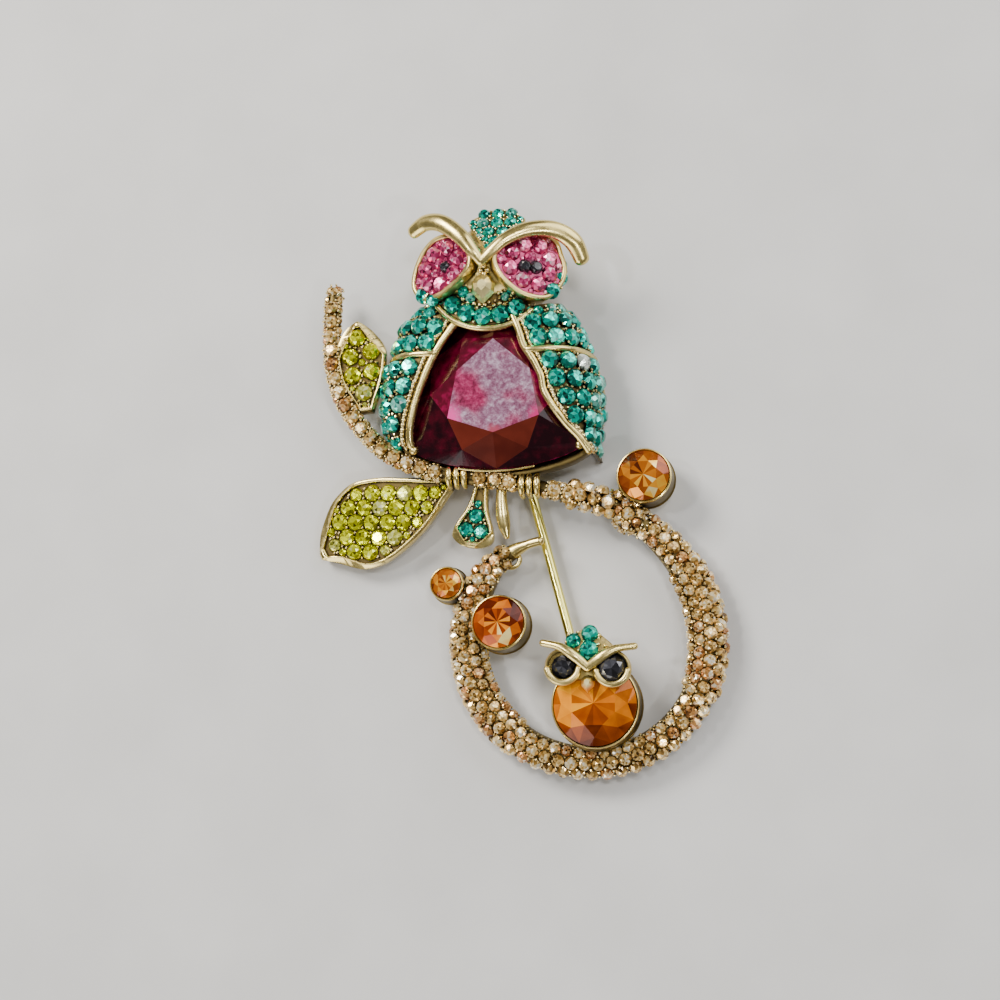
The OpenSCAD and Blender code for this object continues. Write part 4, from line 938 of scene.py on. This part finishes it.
# gallery lip that grips the stone's lower edge, and a bead at each end of the stone's base
lip = [on_ruby(polar(a, ruby_edge(a) + 0.3, stone_z + 0.35)) for a in np.linspace(243, 297, 40)]
wire(s, lip, d=0.26, mat=1)
for a in (213, 327):
    bead(s, on_ruby(polar(a, ruby_edge(a) * 0.985, stone_z + 0.3)), 0.58)
cast(s, "ruby_setting", [gold_dark, gold_smooth], 40)


# Wings
def wing_at(table, t, v, inset=0.0):
    """A point of a wing's face: t runs along its ridge, and v from the ridge down to its foot."""
    r = row_at(table, t)
    w = max(r[3] * wing_w - inset, r[3] * wing_w * 0.35)
    ridge = ruby_c[:2] + flat(r[0]) * ruby_edge(r[0]) * r[1]
    p = ridge + flat(r[2]) * w * max(sind(90 * v), 0) ** wing_square
    return V(*p, (r[4] * wing_h - inset) * max(cosd(90 * v), 0) ** wing_square)


def wing_normal(table, t, v, hand):
    a = wing_at(table, min(t + 0.02, 1), v) - wing_at(table, max(t - 0.02, 0), v)
    b = wing_at(table, t, min(v + 0.02, 1)) - wing_at(table, t, max(v - 0.02, 0))
    return unit(np.cross(b, a) * hand)


def plate(s, top, bottom, mat=0):
    """A sheet between two grids of points."""
    nu, nv = len(top), len(top[0])
    under = nu * nv
    faces = []
    for i in range(nu - 1):
        for j in range(nv - 1):
            a = i * nv + j
            faces.append([a, a + 1, a + nv + 1, a + nv])
            faces.append([under + a, under + a + nv, under + a + nv + 1, under + a + 1])
    edge = [*range(nv - 1), *(i * nv + nv - 1 for i in range(nu - 1)),
            *((nu - 1) * nv + j for j in range(nv - 1, 0, -1)), *(i * nv for i in range(nu - 1, 0, -1))]
    for p, q in zip(edge, edge[1:] + edge[:1]):
        faces.append([q, p, p + under, q + under])
    s.add([p for grid in (top, bottom) for r in grid for p in r], faces, mat)


def beside_ridge(table, t, far):
    """The point of the wing's face that lies this far from its ridge."""
    top = wing_at(table, t, 0)
    for v in np.linspace(0.01, 0.5, 50):
        p = wing_at(table, t, v)
        if np.linalg.norm(p - top) >= far:
            return p
    return wing_at(table, t, 0.5)


def beaded(s, path, r, step):
    """A scalloped line: a thin wire with beads along it."""
    path = resample(np.array(path), 240)
    l = lengths(path)
    wire(s, path, d=r * 1.44, sides=10, mat=1)
    for x in np.arange(step / 2, l[-1], step):
        bead(s, path[min(int(np.searchsorted(l, x)), len(path) - 1)], r)


def make_wing(name, table, crescent, far):
    """A wing's shell, its ridge and scalloped line, and the crescent below the shoulder with a scalloped
    line on its lower side. Gives the lines that the stones stay clear of, with their radii."""
    s = Soup()
    us, vs = np.arange(65) / 64, np.arange(25) / 24
    plate(s, *([[wing_at(table, u, v, inset) for v in vs] for u in us] for inset in (0.08, wall)), 2)
    ts = [0.02 + 0.98 * i / 90 for i in range(91)]
    wire(s, [wing_at(table, t, 0) - polar(row_at(table, t)[2], 0.12, 0.14) for t in ts], d=1.0, sides=16)
    second = [beside_ridge(table, t, far) for t in ts]
    beaded(s, second, r=0.34, step=0.62)
    arc = [wing_at(table, crescent, v) for v in np.linspace(0, 0.92, 40)]
    wire(s, arc, d=0.95, sides=14)
    lower = [wing_at(table, crescent + 0.058, v) for v in np.linspace(0.12, 0.9, 40)]
    beaded(s, lower, r=0.3, step=0.56)
    cast(s, name, [gold_smooth, gold_bead, gold_dark], 50, turn=True)
    return [(np.array(second), 0.36), (resample(np.array(arc), 120), 0.5),
            (resample(np.array(lower), 120), 0.32)]


def wing_fill(table, hand, taken, lines):
    """Small stones over the wing's face, between the larger ones and clear of its rims."""
    on = [(t, v) for t in np.linspace(0.01, 0.985, 110) for v in np.linspace(0.04, 0.9, 64)]
    pts = np.array([wing_at(table, t, v, 0.02) for t, v in on])
    nrm = np.array([wing_normal(table, t, v, hand) for t, v in on])
    ends = [(np.array([wing_at(table, t, v) for v in np.linspace(0, 1, 60)]), -0.1) for t in (0.0, 1.0)]
    room = np.full(len(pts), 9.0)
    for line, r in lines + ends:
        room = np.minimum(room, np.linalg.norm(pts[:, None] - line[None], axis=2).min(1) - r)
    room = np.where((pts[:, 2] > 1.1) & (nrm[:, 2] > -0.02), room, -1)
    return fill(pts, nrm, room, taken, (2.1, 1.8, 1.55, 1.3, 1.1, 0.9, 0.75), 0.04)


def right_pick(c, mat):
    """One clear stone below the crescent, and paler ones along the wing's lower outer edge."""
    if np.linalg.norm(c[:2] - V(0.28, 34.5)) < 1.0:
        return 2
    low_outside = c[0] - ruby_c[0] > 10.5 and c[1] < ruby_c[1] + 4
    return 1 if low_outside and int(c[0] * 37 + c[1] * 53) % 3 == 0 else mat


left_lines = make_wing("left_wing", LEFT_WING, crescent=0.3, far=0.78)
right_lines = make_wing("right_wing", RIGHT_WING, crescent=0.27, far=0.7)
for solid, table, hand, lines, mats, pick in (
        ("left_wing_stones", LEFT_WING, 1, left_lines, TEALS, None),
        ("right_wing_stones", RIGHT_WING, -1, right_lines, [teal, sea, clear, gold_bead], right_pick)):
    field(solid, mats, "teal_glass", swell=1.13, odd=0.07, pick=pick,
          extra=wing_fill(table, hand, swollen(solid, 1.13), lines))


# Head
def blob(table, r, n=96):
    """A closed outline on the curve through (angle, radius) rows."""
    p = [flat(a) * r * q for a, q in table]
    k = len(p)
    return np.array([curve(*(p[(int(x) + e) % k] for e in (-1, 0, 1, 2)), x - int(x))
                     for x in (i * k / n for i in range(n))])


EYES = []
for hand, side_name, table in ((-1, "left", LEFT_EYE), (1, "right", RIGHT_EYE)):
    on_eye = Place(V(head_c[0] + hand * eye_gap / 2, head_c[1], eye_z), rot("y", hand * eye_lean))
    EYES.append((side_name, table, on_eye))
left_eye, right_eye = EYES[0][2], EYES[1][2]

# Offset from the outline, and height, round an eye's rim
EYE_RIM = [
    (0.21, -1.2), (0.3, -1.0), (0.3, 0.285), (0.258, 0.372), (0.15, 0.42), (-0.03, 0.42),
    (-0.165, 0.384), (-0.264, 0.27), (-0.3, 0.1)]
s = Soup()
for _, table, on_eye in EYES:
    outline = blob(table, eye_r)
    dish(s, outline, EYE_RIM, on_eye)
    floor_n = len(outline)
    s.m[-floor_n:], s.t[-floor_n:] = [1] * floor_n, [0.22] * floor_n
# the block behind the eyes
pts = [on_eye([*q, z]) for _, table, on_eye in EYES for z in (-1.6, -1.2)
       for q in blob(table, eye_r * 0.92, 40)]
block_mid = V(head_c[0], head_c[1] + eye_r * 0.1, 0)
for z in (back_z, back_z + 1):
    pts += [block_mid + V(math.cos(a) * eye_gap * 0.74, math.sin(a) * eye_r * 1.2, z)
            for a in np.linspace(0, 2 * math.pi, 48, endpoint=False)]
crown = Place(crown_c, rot("x", -crown_lean))
pts += [crown([*q, -wall - z]) for z in (0.0, 0.4) for q in circle(crown_w * 0.4, 32)]
hull(s, pts)
# forehead plate with a rounded rim, from its corners' places and radii
crown_corners = np.array([
    V(x * crown_w, y * crown_l) + q
    for x, y, r in ((-0.36, 0.16, 0.18), (0.36, 0.16, 0.18), (0, 0.36, 0.2), (-0.09, -0.5, 0.12))
    for q in circle(r * crown_w, 24)])
hull(s, [crown([*(q * g), z]) for q in crown_corners
         for z, g in ((-wall, 0.92), (-wall + 0.15, 1.0), (-0.14, 1.0), (0.0, 0.94))])
cast(s, "head", [gold, rose, gold_dark], 38, turn=True)

s = Soup()
for table in (LEFT_BROW, RIGHT_BROW):
    line = rows(table, 60)
    tube(s, [V(head_c[0] + r[0] * eye_gap, head_c[1] + r[1] * eye_gap, r[2] * eye_z) for r in line],
         [r[3] * brow_w for r in line], [(0.4 + 0.6 * r[3]) * brow_h for r in line], sides=24)
# beads between the eyes
for x, y, z, r in ((0.05, -0.25, 1.2, 0.42), (-0.42, -0.9, 1.0, 0.38), (0.42, -0.85, 1.0, 0.4),
                   (0.0, -1.35, 0.95, 0.44), (-0.5, -1.7, 0.7, 0.3), (0.52, -1.65, 0.7, 0.3)):
    bead(s, V(head_c[0] + x, head_c[1] + y, eye_z + z), r)
cast(s, "brows", [gold_smooth, gold_bead], 60)


def lozenge(s, at, l, w, h, mat=0, place=Place()):
    """A faceted beak: a drop with the point down, its crest in a few broad facets."""
    pts = []
    for z, g in ((0.0, 0.82), (0.3 * h, 1.0), (0.68 * h, 0.78), (h, 0.36)):
        for k in range(10):
            x, y = cosd(36 * k + 18) * w / 2, sind(36 * k + 18) * l / 2
            if y < 0:
                x *= 1 + 0.72 * y / (l / 2) * (1 if y < -l * 0.2 else 0.4)
            pts.append(place(V(x * g, y * g + (1 - g) * 0.06 * l, z) + at))
    hull(s, pts, mat)


s = Soup()
beak_at = V(head_c[0] - eye_r * 0.024, head_c[1] - eye_r * 0.75, eye_z + eye_r * 0.048 + 0.25)
lozenge(s, beak_at, l=3.9, w=3.1, h=1.7)
cast(s, "beak", [pale_gold], 12)

# Collar, as long as its five stones
collar_half = math.degrees((collar_d + 0.2) / collar_r) * 2.5
collar_c = V(head_c[0] + collar_r * 0.015, head_c[1] + collar_r * 0.045, wing_h + wall / 6)


def collar_at(a, out):
    return collar_c + polar(265 + a, collar_r + out, -0.0015 * collar_r * abs(a))


s = Soup()
turns, outs = np.linspace(-collar_half, collar_half, 49), np.linspace(-collar_w / 2, collar_w / 2, 7)
plate(s, *([[collar_at(a, q) - V(0, 0, down) for q in outs] for a in turns] for down in (0.02, wall)))
dark_n = (len(turns) - 1) * (len(outs) - 1) * 2
s.m[:dark_n] = [1] * dark_n
wire(s, [collar_at(a, collar_w / 2) for a in turns], d=0.8, sides=14)
wire(s, [collar_at(a, -collar_w / 2) + V(0, 0, -0.16) for a in turns], d=0.4, sides=10)
cast(s, "collar", [gold_smooth, gold_dark], 40, turn=True)

# Throat between the collar and the eyes: a dark web under grains of metal and a few stones
s = Soup()
web = []
for a in np.linspace(-collar_half * 0.98, collar_half * 0.98, 25):
    p = collar_at(a, -collar_w / 2 + 0.3)
    web.append([p + V(0, 0, -0.15), p + V(0, 0.9, -0.05), p * V(1, 0, 1) + V(0, head_c[1] - 1.6, 0.0),
                p * V(1, 0, 1) + V(0, head_c[1] - 0.6, -0.2)])
plate(s, web, [[q - V(0, 0, 0.5) for q in r] for r in web], 1)
rnd = random.Random(23)
grains = []
for _ in range(900):
    p = V(rnd.uniform(-3.4, 3.4), rnd.uniform(-5.2, -1.2))
    if math.hypot(*p) <= collar_r - collar_w / 2 + 0.05 and all(np.linalg.norm(p - g) > 0.6 for g in grains):
        grains.append(p)
for g in grains:
    bead(s, collar_c + V(*g, 0.02), rnd.uniform(0.22, 0.34), 0)
cast(s, "throat", [gold_bead, gold_dark], 60, turn=True, stands=False)
throat = [(collar_c + V(x, y, 0.22), unit(V(x * 0.05, -0.25, 1)), d) for x, y, d in (
    (-3.0, -3.3, 1.5), (-2.1, -4.1, 1.3), (3.0, -3.3, 1.2), (2.2, -4.1, 1.1), (-3.5, -2.1, 1.2))]
# stones beside the eyes, from the shoulders up
throat += [(on_eye(at), unit(V(*n)), d) for on_eye, at, n, d in (
    (right_eye, (2.9, -3.2, -0.1), (0.55, -0.5, 0.7), 2.1),
    (right_eye, (4.15, -1.35, -0.55), (0.8, -0.15, 0.55), 2.0),
    (right_eye, (4.3, 0.4, -0.6), (0.85, 0.1, 0.5), 1.5),
    (left_eye, (-3.0, -3.1, -0.1), (-0.5, -0.5, 0.7), 2.0),
    (left_eye, (-1.4, -3.9, 0.0), (-0.2, -0.6, 0.8), 1.6))]
s = Soup()
for c, n, d in throat:
    gem(s, c, n, d, 1 if rnd.random() < 0.2 else 0)
scatter_beads(s, throat, 0.2, 2)
set_with(s, "throat_stones", TEALS, "teal_glass", 2)
field("collar_stones", TEALS, "teal_glass", swell=1.16)

# the hull of the forehead plate's corners, from their points that lie farthest out in each direction
far = dict.fromkeys(int(np.argmax(crown_corners @ flat(a))) for a in np.arange(0, 360, 1.8))
tray_field("crown_stones", TEALS, "teal_glass", resample(crown_corners[list(far)], 160, closed=True), crown,
           sizes=(1.3, 1.1, 0.9, 0.75), edge=-0.05, swell=1.05, bead_r=0.16)
pupils = swollen("pupil_stones", 1.15)
for side_name, table, on_eye in EYES:
    tray_field(side_name + "_eye_stones", [rose, blush, gold_bead], "rose_glass", blob(table, eye_r), on_eye,
               sizes=(1.8, 1.5, 1.25, 1.0, 0.8, 0.65), edge=0.12, swell=1.24, beside=pupils, gap=-0.06,
               bead_r=0, jitter=9, odd=0.1)
field("pupil_stones", [jet], "jet_glass", bead_r=0, swell=1.3, jitter=8, sink=-0.12)


# Leaves, tail and feet
def leaf_outline(table, l, w, n=160):
    line = rows(table, 60)
    sides = [[r[0] * l, r[1] * w] for r in line] + [[r[0] * l, r[2] * w] for r in line[::-1]]
    return resample(np.array(sides), n, closed=True)


def inner_leaf(table, l, w, inset):
    """The leaf's outline moved inwards, without crossing itself at the tips."""
    out = leaf_outline(table, l, w)
    line = rows(table, 200)
    moved = out - outline_normals(out) * inset
    for q in moved:
        q[0] = min(max(q[0], inset * 1.6), l - inset * 1.6)
        r = line[int(min(max(q[0] / l, 0), 1) * 200)]
        hi, lo = r[1] * w - inset * 0.55, r[2] * w + inset * 0.55
        if hi < lo:
            hi = lo = (hi + lo) / 2
        q[1] = min(max(q[1], lo), hi)
    return moved


def leaf(s, table, l, w, rim, place):
    """A tray with a rounded rim; each profile row is an outline of its own, so the tips stay clean."""
    n, low, high = 160, -0.9, rim * 0.8
    profile = [(0.12, low), (0.0, low + 0.15), (0.0, high - rim * 0.45), (rim * 0.12, high - rim * 0.16),
               (rim * 0.34, high), (rim * 0.66, high), (rim * 0.88, high - rim * 0.16),
               (rim, high - rim * 0.5), (rim, 0.0)]
    pts = []
    for off, z in profile:
        pts += [[*q, z] for q in (inner_leaf(table, l, w, off) if off else leaf_outline(table, l, w))]
    faces = skin(len(profile), n)
    for e, sign in ((0, 1), (len(profile) - 1, -1)):
        for j in range(e * n, e * n + n // 2 - 1):
            far = 2 * e * n + n - 1 - j
            faces.append([j, j + 1, far - 1, far][::sign])
    s.add(place(np.array(pts)), faces)
    floor_n = n // 2 - 1
    s.m[-floor_n:] = [1] * floor_n
    for k, f in enumerate(faces):
        if np.mean([pts[i][0] for i in f]) < 0.035 * l:
            s.m[k] = 1


on_branch = branch_at(0.615) + branch_d * V(0, 0.7, 0.15)
beside_wing = left_wing_reach - leaf_overlap + leaflet_w / 2
on_leaf = Place(leaf_root, rot("z", leaf_turn) @ rot("y", leaf_drop))
on_leaflet = Place(V(ruby_c[0] - beside_wing + leaflet_l * 0.082, *on_branch[1:]), rot("z", 96))
on_tail = Place(branch_at(0.252) - branch_d * V(0, 0.1, 0.1), rot("z", 260) @ rot("y", 6))
# A tray, then its stones with the sizes that fill its gaps, their distance from the edge, how much larger
# they are than the solids and the gold beads' radius
TRAYS = (
    ("large_leaf", LARGE_LEAF, leaf_l, leaf_w, rim_r * 1.2, on_leaf,
     "large_leaf_stones", PERIDOTS, "peridot_glass", (1.7, 1.45, 1.2, 1.0, 0.8), 0.58, 1.1, 0.2),
    ("small_leaf", SMALL_LEAF, leaflet_l, leaflet_w, rim_r * 1.1, on_leaflet,
     "small_leaf_stones", PERIDOTS, "peridot_glass", (1.5, 1.2, 0.95, 0.75), 0.52, 1.16, 0.22),
    ("tail_feather", TAIL_FEATHER, tail_l, tail_w, rim_r * 1.1, on_tail,
     "tail_stones", TEALS, "teal_glass", (1.5, 1.2, 0.95, 0.75), 0.56, 1.12, 0.2))
for name, table, l, w, rim, place, *_ in TRAYS:
    s = Soup()
    leaf(s, table, l, w, rim, place)
    cast(s, name, [gold_smooth, gold_dark], 50, turn=True)
for _, table, l, w, _, place, solid, mats, slot, sizes, edge, swell, bead_r in TRAYS:
    tray_field(solid, mats, slot, leaf_outline(table, l, w, 200), place, sizes, edge, swell,
               bead_r=bead_r, odd=0.14)

# The plain feather, and three claws to each foot
s = Soup()
start = branch_at(0.203) - branch_d * V(0, 0.2, 0.1)
ts = np.linspace(0, 1, 30)
feather_w = np.interp(ts, [0, 0.2, 0.4, 0.6, 0.8, 1], [0.87, 0.87, 1, 1.13, 1, 0.47]) * 1.5
feather = [start + 6.4 * V(0.176 * t * t - 0.094 * t, -t, -0.11 * t) for t in ts]
tube(s, feather, feather_w, feather_w * 0.7, sides=20)
claw_r, turns = branch_d / 2 + claw_d * 0.41, np.linspace(152, 4, 26)
d = [claw_d * (0.72 + 0.33 * sind(a) ** 2) for a in turns]
for t in feet_at:
    for k in (-1, 0, 1):
        p = branch_at(t) + V(k * 0.95, 0, 0)
        tube(s, [p + V(0, -cosd(a) * claw_r, sind(a) * claw_r * 1.05) for a in turns], d, d, sides=14)
cast(s, "feet_and_feather", [gold_smooth], 60)


# Amber stones in their cups
def cup(s, at, d, foot, rim=0.16):
    r, z = d / 2 + seat_gap, foot - at[2]
    profile = [(r + 0.36, z), (r + 0.45, z + 0.12), (r + 0.45, z + 0.45), (r + 0.3, z + 0.6),
               (r + 0.22, rim - 0.9), (r + 0.24, rim - 0.5), (r + 0.24, rim - 0.25), (r + 0.16, rim - 0.1),
               (r + 0.06, rim - 0.06), (r - 0.02, rim - 0.14), (r - 0.06, rim - 0.3), (r - 0.1, -0.3),
               (r * 0.6, -d * 0.2 - 0.1)]
    n = 64
    begin, dark_n = len(s.f), 6 * n
    stack(s, [(circle(1.0, n) * rad, z) for rad, z in profile], (0, 0), Place(at))
    s.m[begin:begin + dark_n] = [1] * dark_n


def toward(*lights):
    """Painted light and shade by direction round the stone: (angle, spread in degrees, amount) for each
    patch.
    """
    def shade(q):
        a = math.degrees(math.atan2(q[1], q[0]))
        return sum(amount * max(0, 1 - abs((a - at + 180) % 360 - 180) / spread)
                   for at, spread, amount in lights)
    return shade


def round_stone(solid, at, d, mat, seed, tones, shade):
    facet_stone(solid, at, lambda a: d / 2, lambda k: d * 0.28, d * 0.17, d * 0.2, [mat], "amber_glass",
                sides=8, first=22.5, seed=seed, tones=tones, shade=shade)


amber_tones = dict(wedge=(0.1, 0.55), rim=(0.45, 0.95), star=(0.2, 0.95), kite=(0.05, 0.8), low=(0.1, 0.6))
s = Soup()
for k, (solid, at, d, foot, mat, shade) in enumerate((
        ("amber_upper", polar(68.6, 1.455 * ring_r, 1.19 * branch_z), amber_d, 0.49, amber,
         toward((130, 60, -0.45), (-60, 90, 0.22))),
        ("amber_inner", polar(169, 0.712 * ring_r, 1.32 * branch_z), amber_d, 0.6, fire,
         toward((-80, 70, 0.3), (60, 70, -0.12))),
        ("amber_small", polar(157.2, 1.272 * ring_r, 0.943 * branch_z), amber_small_d, 0.377, amber,
         toward((0, 180, 0.1))))):
    cup(s, at, d, foot * branch_z)
    round_stone(solid, at, d, mat, 11 + k, amber_tones, shade)
cast(s, "amber_cups", [gold_smooth, gold_dark], 40)

# Baby owl
belly_c = polar(-79, ring_r - band_w / 2 - belly_d * 0.395, back_z + wall + seat_gap + belly_d * 0.2)
baby_head = belly_c + V(-belly_d * 0.05, belly_d * 0.415, belly_d * 0.17 + wall)
plate_z = baby_head[2] - 0.5
round_stone("baby_belly", belly_c, belly_d, honey, 3,
            dict(wedge=(0.18, 0.5), rim=(0.38, 0.75), star=(0.25, 0.75), kite=(0.2, 0.65), low=(0.1, 0.5)),
            toward((150, 60, 0.26), (40, 50, 0.12), (-95, 50, -0.42), (-40, 46, -0.26)))
face = Place(baby_head * V(1, 1, 0), rot("z", -3))


def on_face(x, y, z):
    """A point given in socket gaps across the face, at height z."""
    return face([x * socket_gap, y * socket_gap, z])


s = Soup()
cup(s, belly_c, belly_d, back_z, rim=0.02)
for e in (-1, 1):
    c = Place(V(*on_face(e / 2, 0, 0)[:2], baby_head[2]))
    r = socket_d / 2
    dish(s, circle(r, 56), [(-0.1, -1.0), (0.0, -0.85), (0.0, 0.2), (-0.07, 0.4), (-0.2, 0.5), (-0.32, 0.42),
                            (-0.42, 0.2), (-0.42, -0.48), (-0.7, -0.5)], c)
    wire(s, [c(polar(a, r - 0.3, 0.34)) for a in np.linspace(190, 350, 30)], d=0.86)
hull(s, [on_face(x, y, z) for x in (-0.5, 0.5) for y in (-0.237, 0.17) for z in (plate_z - wall, plate_z)])
hull(s, [on_face(x + q[0] * g, y + q[1] * g, z)
         for x, y, r in ((-0.034, 0.627, 0.203), (-0.322, 0.441, 0.17), (0.305, 0.407, 0.17), (0, 0.1, 0.1))
         for z, g in ((back_z, 0.94), (back_z + 0.15, 1.0), (plate_z - 0.15, 1.0), (plate_z, 0.9))
         for q in circle(r, 20)])
cast(s, "baby_owl", [gold, gold_dark], 38, turn=True)
s = Soup()
for e in (-1, 1):
    line = rows(BABY_BROW, 36)
    tube(s, [on_face(e * r[0], r[1], r[2] * baby_head[2]) for r in line],
         [min(max(r[3] * brow_w * 1.45, 0.85), 1.2) for r in line], [0.85] * len(line))
lozenge(s, V(socket_gap * 0.017, -socket_gap * 0.322, plate_z - 0.05),
        l=socket_gap * 0.36, w=socket_gap * 0.3, h=socket_gap * 0.27, mat=1, place=face)
# beads beside the crown's stones
for x, y in ((-0.42, 0.66), (0.2, 0.66), (0.33, 0.45), (0.42, 0.28), (0.27, 0.3), (-0.3, 0.28), (-0.46, 0.5),
             (0.12, 0.36), (-0.12, 0.42)):
    bead(s, on_face(x, y, plate_z + 0.1), 0.27, 0)
cast(s, "baby_brows_and_beak", [gold_smooth, pale_gold], 30)
field("baby_crown_stones", TEALS, "teal_glass", bead_r=0.22, swell=1.22, odd=0)
field("baby_eye_left", [jet], "jet_glass", bead_r=0, jitter=3, swell=1.12, sink=-0.1)
field("baby_eye_right", [jet], "jet_glass", bead_r=0, jitter=3, swell=1.2, sink=-0.1)

# The pin findings keep their solids, with softened edges
for solid in ("pin_hinge", "pin_stem", "pin_catch"):
    o = nodes[solid]
    o.data.materials.clear()
    o.data.materials.append(brass)
    bev = o.modifiers.new("edge", "BEVEL")
    bev.width = 0.04 * MM
    bev.segments = 2
    bev.limit_method = "ANGLE"
    bev.angle_limit = math.radians(35)

# Surroundings
half_floor = 0.45
mesh = bpy.data.meshes.new("floor")
corners = ((-1, -1), (1, -1), (1, 1), (-1, 1))
mesh.from_pydata([(x * half_floor, y * half_floor, -0.02 * MM) for x, y in corners], [], [[0, 1, 2, 3]])
floor = bpy.data.objects.new("floor", mesh)
bpy.context.scene.collection.objects.link(floor)
mat, nt, shader, at = material("pale_floor")
feed(nt, shader, {"Roughness": 0.6, "Base Color": ramp(nt, noise(nt, at, 60.0, 4.0), (0.3, 0.60, 0.59, 0.57),
                                                       (0.7, 0.66, 0.65, 0.63))})
mesh.materials.append(mat)

look = Vector((0, 0, 0.005))
for name, at, size, power, colour in (
        ("key", (-0.3, 0.26, 0.4), 0.2, 3.4, (1, 0.97, 0.92)),
        ("fill", (0.36, 0.32, 0.3), 0.45, 2.2, (0.97, 0.98, 1)),
        ("front", (-0.28, -0.44, 0.16), 0.36, 1.5, (1, 0.98, 0.95)),
        ("top", (0.16, 0.05, 0.6), 0.08, 0.9, (1, 1, 1)),
        ("spark_left", (-0.2, 0.02, 0.46), 0.03, 0.42, (1, 1, 1)),
        ("spark_right", (0.24, -0.2, 0.42), 0.03, 0.42, (1, 1, 1))):
    light = bpy.data.lights.new(name, "AREA")
    light.shape = "RECTANGLE"
    light.size = light.size_y = size
    light.energy = power
    light.color = colour
    o = bpy.data.objects.new(name, light)
    o.location = at
    o.rotation_euler = (look - Vector(at)).to_track_quat("-Z", "Y").to_euler()
    bpy.context.scene.collection.objects.link(o)
world = bpy.data.worlds.new("studio")
bpy.context.scene.world = world
world.use_nodes = True
world.node_tree.nodes["Background"].inputs["Color"].default_value = (0.80, 0.78, 0.74, 1)
world.node_tree.nodes["Background"].inputs["Strength"].default_value = 0.22

# The camera stands where the photo was taken from
cam = bpy.data.cameras.new("camera")
cam.lens = 72.9
cam.sensor_width = 36
cam.clip_start = 0.01
o = bpy.data.objects.new("camera", cam)
bpy.context.scene.collection.objects.link(o)
bpy.context.scene.camera = o
right, up, back = (0.98433, 0, -0.17633), (0.03062, 0.98481, 0.17093), (0.17365, -0.17365, 0.96938)
target, distance = Vector((-1.78, -1.24, 5.0)) * MM, 0.25
m = Matrix((right, up, back)).transposed().to_4x4()
m.translation = target + Vector(back) * distance
o.matrix_world = m
